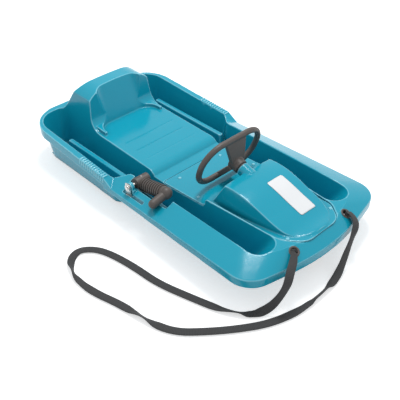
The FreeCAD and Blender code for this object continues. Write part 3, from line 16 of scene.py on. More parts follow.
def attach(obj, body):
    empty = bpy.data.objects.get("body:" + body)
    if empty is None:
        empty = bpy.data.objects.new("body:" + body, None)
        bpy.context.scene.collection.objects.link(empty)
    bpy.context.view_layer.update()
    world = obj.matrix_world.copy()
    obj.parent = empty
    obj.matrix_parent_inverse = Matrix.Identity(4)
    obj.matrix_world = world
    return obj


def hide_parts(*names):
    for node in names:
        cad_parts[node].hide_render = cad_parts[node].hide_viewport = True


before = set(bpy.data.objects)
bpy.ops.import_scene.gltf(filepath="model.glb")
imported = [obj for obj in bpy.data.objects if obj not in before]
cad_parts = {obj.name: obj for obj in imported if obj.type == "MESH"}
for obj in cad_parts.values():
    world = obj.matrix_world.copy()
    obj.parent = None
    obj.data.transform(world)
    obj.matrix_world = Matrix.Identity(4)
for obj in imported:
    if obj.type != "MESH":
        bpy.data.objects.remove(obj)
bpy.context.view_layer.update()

# %% [markdown]
# ## The camera
#
# The photograph looks down on the sled's right front corner. The place and the lens were worked out
# from points that the tub has on both sides. A long lens from far off would flatten the nose, so the
# real distance of about two metres is kept.

# %% Set the camera
CAMERA_PLACE = Vector((1.1145, -1.0569, 1.1748))
CAMERA_TARGET = Vector((0.020, 0.0003, -0.035))
CAMERA_LENS = 60.36

camera_data = bpy.data.cameras.new("photo_camera")
camera_data.lens = CAMERA_LENS
camera_data.sensor_width = 36.0
camera_data.clip_start = 0.05
camera = bpy.data.objects.new("photo_camera", camera_data)
camera.location = CAMERA_PLACE
camera.rotation_euler = (CAMERA_TARGET - CAMERA_PLACE).to_track_quat("-Z", "Y").to_euler()
bpy.context.scene.collection.objects.link(camera)
bpy.context.scene.camera = camera
print("camera distance:", round((CAMERA_TARGET - CAMERA_PLACE).length, 3))

# %% [markdown]
# ## The tow strap
#
# The strap is flat woven webbing, 22 mm wide, knotted under the nose deck at both ends and lying in
# one open loop on the floor. A bevelled curve would give a round rope, so the strap is a mesh: we let
# a NURBS spline smooth the route, read its points back, and set a thin cross-section at each of
# them. The face of the webbing turns along the way: flat on the floor, upright where it drops from
# the deck, and tilted edge-on where the photograph shows it thin.

# %% Route of the strap
STRAP_FLOOR = 0.0042
STRAP_RISE = [
    (0.440, -0.100, 0.096), (0.440, -0.101, 0.117), (0.458, -0.122, 0.108), (0.477, -0.158, 0.101),
    (0.485, -0.174, 0.080), (0.478, -0.190, 0.046), (0.467, -0.210, 0.018), (0.450, -0.236, STRAP_FLOOR),
]
STRAP_LAY = [
    (0.424, -0.262), (0.379, -0.286), (0.300, -0.310), (0.218, -0.333), (0.134, -0.338), (0.060, -0.350),
    (0.014, -0.368), (-0.014, -0.404), (0.008, -0.444), (0.060, -0.467), (0.132, -0.464), (0.210, -0.441),
    (0.300, -0.428), (0.360, -0.406), (0.408, -0.354), (0.450, -0.300), (0.488, -0.240), (0.510, -0.172),
    (0.517, -0.106), (0.514, -0.040),
]
STRAP_RETURN = [
    (0.505, 0.006, 0.012), (0.492, 0.046, 0.040), (0.486, 0.074, 0.080), (0.479, 0.094, 0.101),
    (0.460, 0.104, 0.109), (0.440, 0.101, 0.117), (0.440, 0.100, 0.096),
]
strap_route = STRAP_RISE + [(x, y, STRAP_FLOOR) for x, y in STRAP_LAY] + STRAP_RETURN


def smooth_points(route, steps):
    """Points along a NURBS spline that has the route as its control points."""
    curve = bpy.data.curves.new("route", "CURVE")
    curve.dimensions = "3D"
    spline = curve.splines.new("NURBS")
    spline.points.add(len(route) - 1)
    for point, place in zip(spline.points, route):
        point.co = (*place, 1.0)
    spline.order_u = 3
    spline.use_endpoint_u = True
    spline.resolution_u = steps
    holder = bpy.data.objects.new("route", curve)
    mesh = bpy.data.meshes.new_from_object(holder)
    points = [vertex.co.copy() for vertex in mesh.vertices]
    bpy.data.objects.remove(holder)
    bpy.data.meshes.remove(mesh)
    return points


STRAP_STEPS = 10
strap_line = smooth_points(strap_route, STRAP_STEPS)
strap_length = sum((b - a).length for a, b in zip(strap_line, strap_line[1:]))
print("strap points:", len(strap_line), "length:", round(strap_length, 3))

# %% Faces and widths along the strap
STRAP_WIDTH = 0.022
STRAP_THICKNESS = 0.0018
# Share of the length, way the webbing faces, and share of its full width
STRAP_FACES = [
    (0.000, (0.80, -0.60, 0.00), 0.75),
    (0.014, (0.70, -0.60, 0.40), 0.75),
    (0.030, (0.40, -0.30, 0.87), 0.90),
    (0.048, (0.75, -0.40, 0.60), 1.00),
    (0.070, (0.90, -0.40, 0.20), 1.00),
    (0.105, (0.70, -0.30, 0.70), 1.00),
    (0.128, (0.10, 0.10, 1.00), 0.90),
    (0.145, (-0.29, 0.55, 0.74), 0.80),
    (0.185, (0.00, 0.00, 1.00), 1.00),
    (0.400, (0.00, 0.00, 1.00), 1.00),
    (0.430, (0.15, 0.30, 0.80), 0.90),
    (0.453, (0.25, 0.56, 0.26), 0.80),
    (0.475, (0.10, 0.20, 0.90), 0.90),
    (0.500, (0.00, 0.00, 1.00), 1.00),
    (0.555, (0.00, 0.00, 1.00), 1.00),
    (0.588, (-0.09, 0.61, 0.61), 0.80),
    (0.615, (0.00, 0.00, 1.00), 1.00),
    (0.790, (0.00, 0.00, 1.00), 1.00),
    (0.822, (-0.30, 0.05, 0.90), 0.90),
    (0.835, (-0.61, 0.06, 0.61), 0.80),
    (0.858, (-0.62, 0.00, 0.53), 0.80),
    (0.880, (0.20, 0.00, 1.00), 0.90),
    (0.915, (0.80, 0.10, 0.60), 1.00),
    (0.945, (0.95, 0.10, 0.25), 1.00),
    (0.966, (0.60, 0.10, 0.80), 0.90),
    (0.984, (0.30, 0.30, 0.90), 0.80),
    (1.000, (0.80, 0.60, 0.00), 0.75),
]


def between(table, share):
    """Row of a table at a share of the length, blended from the rows on both sides."""
    for low, high in zip(table, table[1:]):
        if share <= high[0]:
            part = (share - low[0]) / (high[0] - low[0])
            part = part * part * (3 - 2 * part)
            facing = Vector(low[1]).lerp(Vector(high[1]), part)
            return facing.normalized(), low[2] + (high[2] - low[2]) * part
    return Vector(table[-1][1]), table[-1][2]


def webbing_mesh(name, line, length):
    """Flat band with rounded selvedges that follows a line of points."""
    section = [(-0.5, 0.0), (-0.47, 0.5), (-0.16, 0.5), (0.16, 0.5), (0.47, 0.5)]
    section += [(0.5, 0.0), (0.47, -0.5), (0.16, -0.5), (-0.16, -0.5), (-0.47, -0.5)]
    mesh = bmesh.new()
    layer = mesh.loops.layers.uv.new("along")
    rings = []
    travelled = 0.0
    for i, place in enumerate(line):
        if i:
            travelled += (place - line[i - 1]).length
        way = (line[min(i + 1, len(line) - 1)] - line[max(i - 1, 0)]).normalized()
        facing, share = between(STRAP_FACES, travelled / length)
        across = way.cross(facing).normalized()
        face = across.cross(way).normalized()
        ring = []
        below = abs(across.z) * STRAP_WIDTH * share / 2 - place.z + STRAP_THICKNESS
        lift = Vector((0, 0, max(0.0, below)))
        for side, up in section:
            offset = across * (side * STRAP_WIDTH * share) + face * (up * STRAP_THICKNESS)
            ring.append(mesh.verts.new(place + offset + lift))
        rings.append((ring, travelled))
    count = len(section)
    for (ring, start), (after, end) in zip(rings, rings[1:]):
        for k in range(count):
            n = (k + 1) % count
            face = mesh.faces.new((ring[k], ring[n], after[n], after[k]))
            across_uv = [section[k][0], section[n][0], section[n][0], section[k][0]]
            along_uv = [start, start, end, end]
            for loop, u, v in zip(face.loops, across_uv, along_uv):
                loop[layer].uv = ((u + 0.5) * STRAP_WIDTH, v)
            face.smooth = True
    mesh.faces.new(rings[0][0])
    mesh.faces.new(list(reversed(rings[-1][0])))
    bmesh.ops.recalc_face_normals(mesh, faces=mesh.faces)
    data = bpy.data.meshes.new(name)
    mesh.to_mesh(data)
    mesh.free()
    piece = bpy.data.objects.new(name, data)
    bpy.context.scene.collection.objects.link(piece)
    return piece


tow_webbing = webbing_mesh("tow_webbing", strap_line, strap_length)
print("webbing faces:", len(tow_webbing.data.polygons))

# %% [markdown]
# ## Knots under the deck
#
# Each end of the strap is tied in a plain overhand knot that can't slip back through its hole. A ball
# would do from a distance, but a knot has turns: a short trefoil line with a round band on it gives the
# overlapping folds in a few points.

# %% Tie the knots
KNOT_PLACE = (0.440, 0.100, 0.088)
KNOT_BAND = 0.0036
KNOT_TURN = 0.0032
KNOT_HEIGHT = 0.0062


def tie_knot(name, place, side):
    """Overhand knot of folded webbing round a place."""
    curve = bpy.data.curves.new(name, "CURVE")
    curve.dimensions = "3D"
    curve.bevel_depth = KNOT_BAND
    curve.bevel_resolution = 4
    curve.resolution_u = 10
    spline = curve.splines.new("NURBS")
    turns = 18
    spline.points.add(turns - 1)
    for i, point in enumerate(spline.points):
        angle = 2 * math.pi * i / turns
        across = KNOT_TURN * (math.sin(angle) + 2 * math.sin(2 * angle))
        along = KNOT_TURN * (math.cos(angle) - 2 * math.cos(2 * angle))
        up = -KNOT_HEIGHT * math.sin(3 * angle)
        point.co = (place[0] + along, place[1] + side * across, place[2] + up, 1.0)
    spline.order_u = 3
    spline.use_cyclic_u = True
    holder = bpy.data.objects.new(name + "_line", curve)
    data = bpy.data.meshes.new_from_object(holder)
    bpy.data.objects.remove(holder)
    for polygon in data.polygons:
        polygon.use_smooth = True
    knot = bpy.data.objects.new(name, data)
    bpy.context.scene.collection.objects.link(knot)
    return knot


knots = {}
for side_name, side in (("left", 1), ("right", -1)):
    place = (KNOT_PLACE[0], side * KNOT_PLACE[1], KNOT_PLACE[2])
    knots[side_name] = tie_knot(f"knot_{side_name}", place, side)
print("knots:", [knot.name for knot in knots.values()])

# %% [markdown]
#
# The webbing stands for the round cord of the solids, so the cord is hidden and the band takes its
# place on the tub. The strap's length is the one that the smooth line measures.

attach(tow_webbing, "tub")
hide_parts("tow_strap")
for side_name, knot in knots.items():
    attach(knot, "tub")
    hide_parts(f"strap_knot_{side_name}")
print("strap declared:", round(strap_length, 3), "m")

# %% [markdown]
# ## Softening the mouldings
#
# Moulded plastic has no sharp edges: every corner of the tub is rounded by a few millimetres. The solids
# have crisp ones. A bevel on so many crossing surfaces tears, so we rebuild the skin from small
# cubes, relax it a few times, and thin it out again. The relaxing rounds each edge by about
# two cube widths, which is what the real mould does.

# %% Rebuild and relax a node's skin
def applied(piece):
    """Replaces a piece's mesh by what its modifiers make of it."""
    graph = bpy.context.evaluated_depsgraph_get()
    data = bpy.data.meshes.new_from_object(piece.evaluated_get(graph))
    piece.modifiers.clear()
    piece.data = data
    return data


def soften(node, name, cube, relax, keep, crisp=()):
    """Rounded copy of a CAD node, relaxed everywhere but in the crisp boxes."""
    piece = bpy.data.objects.new(name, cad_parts[node].data.copy())
    bpy.context.scene.collection.objects.link(piece)
    rebuild = piece.modifiers.new("rebuild", "REMESH")
    rebuild.mode = "VOXEL"
    rebuild.voxel_size = cube
    rebuild.use_smooth_shade = True
    data = applied(piece)
    places = numpy.empty(len(data.vertices) * 3, dtype=numpy.float32)
    data.vertices.foreach_get("co", places)
    places = places.reshape(-1, 3)
    soft = numpy.ones(len(places), dtype=bool)
    for low, high in crisp:
        soft &= ~numpy.all((places > low) & (places < high), axis=1)
    group = piece.vertex_groups.new(name="soft")
    group.add(numpy.nonzero(soft)[0].tolist(), 1.0, "REPLACE")
    ease = piece.modifiers.new("ease", "SMOOTH")
    ease.factor = 0.5
    ease.iterations = relax
    ease.vertex_group = "soft"
    thin = piece.modifiers.new("thin", "DECIMATE")
    thin.ratio = keep
    data = applied(piece)
    data.name = name
    data.materials.clear()
    data.polygons.foreach_set("use_smooth", [True] * len(data.polygons))
    piece.vertex_groups.clear()
    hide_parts(node)
    print(name, "faces:", len(data.polygons))
    return piece


# %% Soften the tub, the hood and the wheel
SEAT_GROOVES = ((-0.256, -0.097, 0.090), (-0.088, 0.097, 0.112))
LEFT_GRIP = ((-0.214, 0.221, 0.104), (-0.096, 0.245, 0.125))
RIGHT_GRIP = ((-0.214, -0.245, 0.104), (-0.096, -0.221, 0.125))

tub = soften(
    "tub_shell", "moulded_tub", cube=0.0016, relax=5, keep=0.22,
    crisp=(SEAT_GROOVES, LEFT_GRIP, RIGHT_GRIP),
)
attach(tub, "tub")
hood = soften("console_cover", "moulded_hood", cube=0.0015, relax=6, keep=0.25)
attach(hood, "tub")
wheel = soften("steering_wheel", "moulded_wheel", cube=0.0011, relax=6, keep=0.3)
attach(wheel, "steering")

# %% [markdown]
# ## Ribs of the hand grips
#
# Each rear rim has a hand grip: a row of low ribs that run over the rim and down its outer side. They are
# too low to last through the softening, so we lay a round bar along each of them. A rib's line
# has five points: the inner edge, two on top, the outer edge, and a little way down.

# %% Lay the grip ribs
GRIP_COUNT = 12
GRIP_REAR, GRIP_PITCH = -0.2068, 0.00941
GRIP_BAR = 0.0031
# Place along the rim and height of its top
RIM_TOPS = [(-0.215, 0.1116), (-0.203, 0.1111), (-0.144, 0.1080), (-0.095, 0.1008)]


def rim_top(x):
    """Height of the rear rim's top at a place along it."""
    for (low_x, low_z), (high_x, high_z) in zip(RIM_TOPS, RIM_TOPS[1:]):
        if x <= high_x:
            break
    return low_z + (high_z - low_z) * (x - low_x) / (high_x - low_x)


# Half width of the tub's outer edge at its rear end, where that is, and how it grows forward
EDGE_REAR_HALF, EDGE_REAR_X, EDGE_GROWTH = 0.238, -0.475, 0.0137


def rim_edge(x):
    """Half width of the tub's outer edge at a place along it."""
    return EDGE_REAR_HALF + EDGE_GROWTH * (x - EDGE_REAR_X)


# A rib's points: how far in from the outer edge, and how high above the rim's top
RIB_LINE = [(0.016, -0.004), (0.013, -0.0004), (0.004, -0.0004), (0.0006, -0.002), (0.0006, -0.013)]


def lay_grip(name, side):
    """Row of ribs over one rear rim."""
    curve = bpy.data.curves.new(name, "CURVE")
    curve.dimensions = "3D"
    curve.bevel_depth = GRIP_BAR
    curve.bevel_resolution = 3
    curve.use_fill_caps = True
    for i in range(GRIP_COUNT):
        x = GRIP_REAR + GRIP_PITCH * i
        edge, top = rim_edge(x), rim_top(x)
        spline = curve.splines.new("NURBS")
        spline.points.add(len(RIB_LINE) - 1)
        for point, (inward, up) in zip(spline.points, RIB_LINE):
            point.co = (x, side * (edge - inward), top + up, 1.0)
        spline.order_u = 3
        spline.use_endpoint_u = True
    holder = bpy.data.objects.new(name + "_lines", curve)
    data = bpy.data.meshes.new_from_object(holder)
    bpy.data.objects.remove(holder)
    data.polygons.foreach_set("use_smooth", [True] * len(data.polygons))
    grip = bpy.data.objects.new(name, data)
    bpy.context.scene.collection.objects.link(grip)
    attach(grip, "tub")
    return grip


grips = [lay_grip("left_grip_ribs", 1), lay_grip("right_grip_ribs", -1)]
print("grip ribs:", [len(grip.data.polygons) for grip in grips])

# %% [markdown]
# ## Eyelets in the strap holes
#
# The strap leaves the deck through two holes that look like dark ovals. Each gets a dark eyelet: a flange
# on the sloping deck and a sleeve below it, turned from one outline. The eyelet is a trim part, and its
# dark
# sleeve is also painted shade: it fills the hole, where there is only shade.

# %% Turn the eyelets
EYELET_TOP = (0.440, 0.100, 0.1072)
EYELET_STEPS = 40
DECK_SLOPE = Vector((0.478, 0.125, 1.0))
EYELET_OUTLINE = [
    (0.0085, -0.0120), (0.0085, 0.0006), (0.0094, 0.0020), (0.0128, 0.0020),
    (0.0140, 0.0006), (0.0140, -0.0012), (0.0094, -0.0012), (0.0094, -0.0120),
]


def turn_eyelet(name, side):
    """Ring with a sleeve, square to the deck."""
    steps = EYELET_STEPS
    upright = Vector((DECK_SLOPE.x, side * DECK_SLOPE.y, DECK_SLOPE.z)).normalized()
    across = upright.cross(Vector((0, 1, 0))).normalized()
    along = upright.cross(across)
    middle = Vector((EYELET_TOP[0], side * EYELET_TOP[1], EYELET_TOP[2]))
    mesh = bmesh.new()
    rings = []
    for i in range(steps):
        angle = 2 * math.pi * i / steps
        way = across * math.cos(angle) + along * math.sin(angle)
        rings.append([mesh.verts.new(middle + way * r + upright * z) for r, z in EYELET_OUTLINE])
    count = len(EYELET_OUTLINE)
    for ring, after in zip(rings, rings[1:] + rings[:1]):
        for k in range(count):
            n = (k + 1) % count
            mesh.faces.new((ring[k], ring[n], after[n], after[k])).smooth = True
    bmesh.ops.recalc_face_normals(mesh, faces=mesh.faces)
    data = bpy.data.meshes.new(name)
    mesh.to_mesh(data)
    mesh.free()
    eyelet = bpy.data.objects.new(name, data)
    bpy.context.scene.collection.objects.link(eyelet)
    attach(eyelet, "tub")
    return eyelet


eyelets = [turn_eyelet("left_eyelet", 1), turn_eyelet("right_eyelet", -1)]
print("eyelets:", len(eyelets))

# %% [markdown]
# ## A shared finish: moulded grain
#
# All mouldings share one thing: the surface is not perfect. It has a very fine skin from the mould,
# slow changes of tone where the plastic flowed, and small rubs that take the gloss off. That is
# one node group with named sockets, which each material places with its own values.

# %% Build the grain group
def new_socket(group, name, way, kind, value=None):
    """A named socket on a node group."""
    socket = group.interface.new_socket(name=name, in_out=way, socket_type=kind)
    if value is not None:
        socket.default_value = value
    return socket


def build_grain():
    """Colour, roughness and height of a moulded surface."""
    group = bpy.data.node_groups.new("moulded_grain", "ShaderNodeTree")
    new_socket(group, "Color", "INPUT", "NodeSocketColor", (0.5, 0.5, 0.5, 1))
    new_socket(group, "Flow Color", "INPUT", "NodeSocketColor", (0.4, 0.4, 0.4, 1))
    new_socket(group, "Flow Scale", "INPUT", "NodeSocketFloat", 5.0)
    new_socket(group, "Grain Scale", "INPUT", "NodeSocketFloat", 900.0)
    new_socket(group, "Smooth Roughness", "INPUT", "NodeSocketFloat", 0.25)
    new_socket(group, "Rubbed Roughness", "INPUT", "NodeSocketFloat", 0.45)
    new_socket(group, "Color", "OUTPUT", "NodeSocketColor")
    new_socket(group, "Roughness", "OUTPUT", "NodeSocketFloat")
    new_socket(group, "Height", "OUTPUT", "NodeSocketFloat")
    nodes, links = group.nodes, group.links
    inputs = nodes.new("NodeGroupInput")
    outputs = nodes.new("NodeGroupOutput")
    place = nodes.new("ShaderNodeTexCoord")
    flow = nodes.new("ShaderNodeTexNoise")
    flow.inputs["Detail"].default_value = 3.0
    links.new(place.outputs["Object"], flow.inputs["Vector"])
    links.new(inputs.outputs["Flow Scale"], flow.inputs["Scale"])
    tone = nodes.new("ShaderNodeMix")
    tone.data_type = "RGBA"
    links.new(flow.outputs["Fac"], tone.inputs["Factor"])
    links.new(inputs.outputs["Color"], tone.inputs["A"])
    links.new(inputs.outputs["Flow Color"], tone.inputs["B"])
    links.new(tone.outputs["Result"], outputs.inputs["Color"])
    rub = nodes.new("ShaderNodeTexNoise")
    rub.inputs["Scale"].default_value = 38.0
    rub.inputs["Detail"].default_value = 6.0
    rub.inputs["Roughness"].default_value = 0.7
    links.new(place.outputs["Object"], rub.inputs["Vector"])
    rubbed = nodes.new("ShaderNodeMapRange")
    rubbed.inputs["From Min"].default_value = 0.5
    rubbed.inputs["From Max"].default_value = 0.78
    links.new(rub.outputs["Fac"], rubbed.inputs["Value"])
    links.new(inputs.outputs["Smooth Roughness"], rubbed.inputs["To Min"])
    links.new(inputs.outputs["Rubbed Roughness"], rubbed.inputs["To Max"])
    links.new(rubbed.outputs["Result"], outputs.inputs["Roughness"])
    grain = nodes.new("ShaderNodeTexNoise")
    grain.inputs["Detail"].default_value = 2.0
    links.new(place.outputs["Object"], grain.inputs["Vector"])
    links.new(inputs.outputs["Grain Scale"], grain.inputs["Scale"])
    links.new(grain.outputs["Fac"], outputs.inputs["Height"])
    return group


grain_group = build_grain()
print("grain sockets:", len(grain_group.interface.items_tree))

# %% Place the grain in a material
def moulded_material(name, values, bump, distance):
    """Principled surface with the shared grain."""
    material = bpy.data.materials.new(name)
    material.use_nodes = True
    nodes, links = material.node_tree.nodes, material.node_tree.links
    surface = nodes["Principled BSDF"]
    grain = nodes.new("ShaderNodeGroup")
    grain.node_tree = grain_group
    for socket, value in values.items():
        grain.inputs[socket].default_value = value
    links.new(grain.outputs["Color"], surface.inputs["Base Color"])
    links.new(grain.outputs["Roughness"], surface.inputs["Roughness"])
    relief = nodes.new("ShaderNodeBump")
    relief.inputs["Strength"].default_value = bump
    relief.inputs["Distance"].default_value = distance
    links.new(grain.outputs["Height"], relief.inputs["Height"])
    links.new(relief.outputs["Normal"], surface.inputs["Normal"])
    return material, surface


# %% [markdown]
# ## Teal tub plastic
#
# The tub and the hood are one glossy teal plastic. It is bright and slightly deeper where the flow was
# slow. The gloss comes from low roughness.

# %% Teal plastic
teal, teal_surface = moulded_material(
    "teal_plastic",
    {
        "Color": (0.006, 0.350, 0.480, 1),
        "Flow Color": (0.005, 0.318, 0.445, 1),
        "Flow Scale": 6.0,
        "Grain Scale": 420.0,
        "Smooth Roughness": 0.16,
        "Rubbed Roughness": 0.26,
    },
    bump=0.03,
    distance=0.001,
)
teal_surface.inputs["Specular IOR Level"].default_value = 0.36


def paint_shade_in_hollows(material, surface, reach, darkest):
    """Paints shade into a material's colour where its surface is shut in, as in a groove or a corner."""
    nodes, links = material.node_tree.nodes, material.node_tree.links
    colour = surface.inputs["Base Color"].links[0].from_socket
    # Painted shade: ambient occlusion darkens the colour in grooves and corners, where shade falls.
    shut = nodes.new("ShaderNodeAmbientOcclusion")
    shut.samples = 8
    shut.inputs["Distance"].default_value = reach
    depth = nodes.new("ShaderNodeMapRange")
    depth.inputs["From Min"].default_value = 0.25
    depth.inputs["From Max"].default_value = 0.95
    depth.inputs["To Min"].default_value = darkest
    links.new(shut.outputs["AO"], depth.inputs["Value"])
    shade = nodes.new("ShaderNodeVectorMath")
    shade.operation = "SCALE"
    links.new(colour, shade.inputs["Vector"])
    links.new(depth.outputs["Result"], shade.inputs["Scale"])
    links.new(shade.outputs["Vector"], surface.inputs["Base Color"])


def paint_edge_highlights(material, surface, colour, most):
    """Paints a highlight into a material's colour along its outward edges."""
    nodes, links = material.node_tree.nodes, material.node_tree.links
    inner = surface.inputs["Base Color"].links[0].from_socket
    # Painted highlight: a paler colour on convex edges stands in for the specular highlights there.
    shape = nodes.new("ShaderNodeNewGeometry")
    edge = nodes.new("ShaderNodeMapRange")
    edge.inputs["From Min"].default_value = 0.509
    edge.inputs["From Max"].default_value = 0.540
    edge.inputs["To Max"].default_value = most
    links.new(shape.outputs["Pointiness"], edge.inputs["Value"])
    tone = nodes.new("ShaderNodeMix")
    tone.data_type = "RGBA"
    tone.inputs["B"].default_value = colour
    links.new(inner, tone.inputs["A"])
    links.new(edge.outputs["Result"], tone.inputs["Factor"])
    links.new(tone.outputs["Result"], surface.inputs["Base Color"])


# Painted shade in the teal's grooves, corners and wells.
paint_shade_in_hollows(teal, teal_surface, reach=0.02, darkest=0.40)
# Painted highlight: a paler teal along the outward edges of the tub and the hood.
paint_edge_highlights(teal, teal_surface, colour=(0.30, 0.72, 0.84, 1), most=0.7)


def dress(node, material):
    """Gives a CAD node one material in all its slots."""
    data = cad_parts[node].data
    if not data.materials:
        data.materials.append(material)
    for i in range(len(data.materials)):
        data.materials[i] = material


for piece in (tub, hood, *grips):
    piece.data.materials.append(teal)
dress("console_screws", teal)
print("teal on", tub.name, hood.name, "and the screws")

# %% [markdown]
# ## Dark grip plastic
#
# The wheel, the brake lever, the skid and the bushes are a dark, slightly brown plastic with a fine
# matt texture, as on tool grips. The grain is coarser and deeper than on the tub.

# %% Dark plastic
dark, dark_surface = moulded_material(
    "dark_plastic",
    {
        "Color": (0.092, 0.076, 0.068, 1),
        "Flow Color": (0.072, 0.060, 0.054, 1),
        "Flow Scale": 14.0,
        "Grain Scale": 1400.0,
        "Smooth Roughness": 0.46,
        "Rubbed Roughness": 0.62,
    },
    bump=0.22,
    distance=0.0006,
)
DARK_NODES = ["brake_lever", "steering_skid", "steering_crank", "shaft_bush_rear", "shaft_bush_front"]
for node in DARK_NODES:
    dress(node, dark)
# The eyelets' dark plastic is partly painted shade in the strap holes.
for piece in (wheel, *eyelets):
    piece.data.materials.append(dark)
print("dark plastic on", len(DARK_NODES), "nodes")

# %% [markdown]
# ## Zinc-plated steel
#
# Pins, bolts, screws, the shaft and the brake claw are plated steel: metallic, a little cloudy. The same
# grain group gives the cloudiness, with metal switched on in the material itself.

# %% Steel
steel, steel_surface = moulded_material(
    "plated_steel",
    {
        "Color": (0.62, 0.62, 0.61, 1),
        "Flow Color": (0.50, 0.50, 0.48, 1),
        "Flow Scale": 40.0,
        "Grain Scale": 2200.0,
        "Smooth Roughness": 0.22,
        "Rubbed Roughness": 0.42,
    },
    bump=0.08,
    distance=0.0003,
)
steel_surface.inputs["Metallic"].default_value = 1.0
STEEL_NODES = [
    "wheel_screw", "wheel_washer", "steering_shaft", "shaft_retainer", "crank_pin",
    "king_bolt", "king_washer", "king_nut", "lever_pin", "brake_pivot_pin", "claw_push_nut", "brake_claw",
]
for node in STEEL_NODES:
    dress(node, steel)
print("steel on", len(STEEL_NODES), "nodes")

# %% [markdown]
# ## Woven webbing
#
# Webbing is a plain weave: fine ribs that run across, and yarns along. We read the strap's own
# coordinates, which run in metres across and along, so the yarns keep their real size.

# %% Webbing
def webbing_material():
    """Dark woven strap with yarns at their real size."""
    material = bpy.data.materials.new("woven_webbing")
    material.use_nodes = True
    nodes, links = material.node_tree.nodes, material.node_tree.links
    surface = nodes["Principled BSDF"]
    place = nodes.new("ShaderNodeTexCoord")
    across = nodes.new("ShaderNodeTexWave")
    across.bands_direction = "X"
    across.inputs["Scale"].default_value = 120.0
    across.inputs["Distortion"].default_value = 0.6
    along = nodes.new("ShaderNodeTexWave")
    along.bands_direction = "Y"
    along.inputs["Scale"].default_value = 90.0
    along.inputs["Distortion"].default_value = 0.6
    for wave in (across, along):
        links.new(place.outputs["UV"], wave.inputs["Vector"])
    weave = nodes.new("ShaderNodeMath")
    weave.operation = "MULTIPLY"
    links.new(across.outputs["Fac"], weave.inputs[0])
    links.new(along.outputs["Fac"], weave.inputs[1])
    tone = nodes.new("ShaderNodeMix")
    tone.data_type = "RGBA"
    tone.inputs["A"].default_value = (0.036, 0.036, 0.037, 1)
    tone.inputs["B"].default_value = (0.072, 0.072, 0.073, 1)
    links.new(weave.outputs["Value"], tone.inputs["Factor"])
    links.new(tone.outputs["Result"], surface.inputs["Base Color"])
    relief = nodes.new("ShaderNodeBump")
    relief.inputs["Strength"].default_value = 0.5
    relief.inputs["Distance"].default_value = 0.0005
    links.new(weave.outputs["Value"], relief.inputs["Height"])
    links.new(relief.outputs["Normal"], surface.inputs["Normal"])
    surface.inputs["Roughness"].default_value = 0.85
    surface.inputs["Sheen Weight"].default_value = 0.08
    return material


webbing = webbing_material()
tow_webbing.data.materials.append(webbing)
for knot in knots.values():
    knot.data.materials.append(webbing)
print("webbing on", tow_webbing.name)

# %% [markdown]
# ## Blank label on the hood
#
# A white sticker lies on the hood, left of its middle, where the photograph shows it. It is a thin sheet
# that follows the curve, so we drop a fine grid on the hood from above and lift it a little.

# %% Lay the label on the hood
LABEL_MIDDLE = (0.3235, 0.024)
LABEL_LENGTH = 0.117
LABEL_WIDTH = 0.055
LABEL_CORNER = 0.0025
LABEL_LIFT = 0.0005
LABEL_THICKNESS = 0.0003
ABOVE_HOOD = 0.4


def lay_label():
    """Rounded sticker dropped on the hood."""
    tree = BVHTree.FromObject(hood, bpy.context.evaluated_depsgraph_get())
    across_steps, along_steps = 16, 32
    mesh = bmesh.new()
    grid = []
    for i in range(along_steps + 1):
        row = []
        along = (i / along_steps - 0.5) * LABEL_LENGTH
        past = max(0.0, abs(along) - (LABEL_LENGTH / 2 - LABEL_CORNER))
        half = LABEL_WIDTH / 2 - LABEL_CORNER + math.sqrt(max(LABEL_CORNER ** 2 - past ** 2, 0.0))
        for j in range(across_steps + 1):
            across = (j / across_steps - 0.5) * 2 * half
            start = Vector((LABEL_MIDDLE[0] + along, LABEL_MIDDLE[1] + across, ABOVE_HOOD))
            place, normal, face, distance = tree.ray_cast(start, Vector((0, 0, -1)))
            row.append(mesh.verts.new(place + Vector((0, 0, LABEL_LIFT))))
        grid.append(row)
    for low, high in zip(grid, grid[1:]):
        for j in range(across_steps):
            face = mesh.faces.new((low[j], high[j], high[j + 1], low[j + 1]))
            face.smooth = True
    bmesh.ops.smooth_vert(mesh, verts=mesh.verts, factor=0.5, use_axis_z=True)
    bmesh.ops.recalc_face_normals(mesh, faces=mesh.faces)
    data = bpy.data.meshes.new("hood_label")
    mesh.to_mesh(data)
    mesh.free()
    label = bpy.data.objects.new("hood_label", data)
    bpy.context.scene.collection.objects.link(label)
    body = label.modifiers.new("thickness", "SOLIDIFY")
    body.thickness = LABEL_THICKNESS
    body.offset = 1.0
    return label


label = lay_label()
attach(label, "tub")
paper, paper_surface = moulded_material(
    "white_sticker",
    {
        "Color": (0.82, 0.83, 0.83, 1),
        "Flow Color": (0.78, 0.79, 0.80, 1),
        "Flow Scale": 20.0,
        "Grain Scale": 1600.0,
        "Smooth Roughness": 0.30,
        "Rubbed Roughness": 0.42,
    },
    bump=0.03,
    distance=0.0003,
)
label.data.materials.append(paper)
print("label vertices:", len(label.data.vertices))

# %% [markdown]
# ## Floor and light
#
# The photograph has a white studio. A large pale floor takes the shadow. The sky is white for the camera
# and in reflections, and lights the sled with less strength than that. One soft lamp above gives the
# highlights, and the sky and the floor fill the near side.

# %% Floor
def seen_rays(nodes, links):
    """One for rays that show the background: from the camera, in a reflection or through glass."""
    rays = nodes.new("ShaderNodeLightPath")
    glossy = nodes.new("ShaderNodeMath")
    glossy.operation = "MAXIMUM"
    links.new(rays.outputs["Is Camera Ray"], glossy.inputs[0])
    links.new(rays.outputs["Is Glossy Ray"], glossy.inputs[1])
    seen = nodes.new("ShaderNodeMath")
    seen.operation = "MAXIMUM"
    links.new(glossy.outputs["Value"], seen.inputs[0])
    links.new(rays.outputs["Is Transmission Ray"], seen.inputs[1])
    return seen.outputs["Value"]


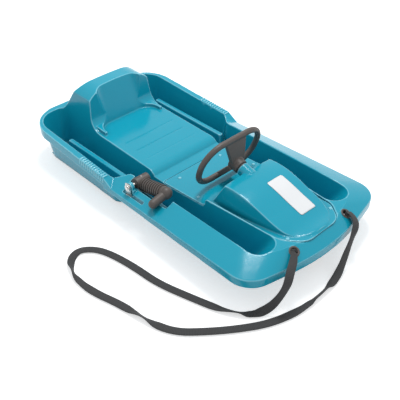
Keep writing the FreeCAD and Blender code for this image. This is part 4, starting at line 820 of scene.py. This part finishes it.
def make_floor():
    """Pale floor that keeps the shadow."""
    mesh = bmesh.new()
    bmesh.ops.create_grid(mesh, x_segments=1, y_segments=1, size=6.0)
    data = bpy.data.meshes.new("floor")
    mesh.to_mesh(data)
    mesh.free()
    floor = bpy.data.objects.new("floor", data)
    floor.location = (0, 0, -0.0005)
    bpy.context.scene.collection.objects.link(floor)
    material = bpy.data.materials.new("pale_floor")
    material.use_nodes = True
    nodes, links = material.node_tree.nodes, material.node_tree.links
    surface = nodes["Principled BSDF"]
    surface.inputs["Base Color"].default_value = (0.80, 0.80, 0.80, 1)
    surface.inputs["Roughness"].default_value = 0.8
    surface.inputs["Specular IOR Level"].default_value = 0.0
    glow = nodes.new("ShaderNodeEmission")
    glow.inputs["Strength"].default_value = 0.55
    both = nodes.new("ShaderNodeAddShader")
    links.new(surface.outputs["BSDF"], both.inputs[0])
    links.new(glow.outputs["Emission"], both.inputs[1])
    choose = nodes.new("ShaderNodeMixShader")
    links.new(seen_rays(nodes, links), choose.inputs["Fac"])
    links.new(surface.outputs["BSDF"], choose.inputs[1])
    links.new(both.outputs["Shader"], choose.inputs[2])
    links.new(choose.outputs["Shader"], nodes["Material Output"].inputs["Surface"])
    floor.data.materials.append(material)
    return floor


floor = make_floor()

# %% Lamps and sky
def soft_lamp(name, place, target, size, power):
    """Square soft box aimed at a target."""
    data = bpy.data.lights.new(name, "AREA")
    data.shape = "SQUARE"
    data.size = size
    data.energy = power
    lamp = bpy.data.objects.new(name, data)
    lamp.location = place
    lamp.rotation_euler = (Vector(target) - Vector(place)).to_track_quat("-Z", "Y").to_euler()
    bpy.context.scene.collection.objects.link(lamp)
    return lamp


soft_lamp("overhead_box", place=(-0.3, 0.5, 2.4), target=(0.0, 0.0, 0.1), size=0.7, power=33.0)

world = bpy.data.worlds.new("studio_sky")
world.use_nodes = True
bpy.context.scene.world = world
sky_nodes, sky_links = world.node_tree.nodes, world.node_tree.links
sky = sky_nodes["Background"]
sky.inputs["Color"].default_value = (0.94, 0.97, 1.0, 1)
sky.inputs["Strength"].default_value = 0.66
backdrop = sky_nodes.new("ShaderNodeBackground")
backdrop.inputs["Color"].default_value = (1.0, 1.0, 1.0, 1)
backdrop.inputs["Strength"].default_value = 1.0
choose = sky_nodes.new("ShaderNodeMixShader")
sky_links.new(seen_rays(sky_nodes, sky_links), choose.inputs["Fac"])
sky_links.new(sky.outputs["Background"], choose.inputs[1])
sky_links.new(backdrop.outputs["Background"], choose.inputs[2])
sky_links.new(choose.outputs["Shader"], sky_nodes["World Output"].inputs["Surface"])
bpy.context.scene.view_settings.view_transform = "Standard"
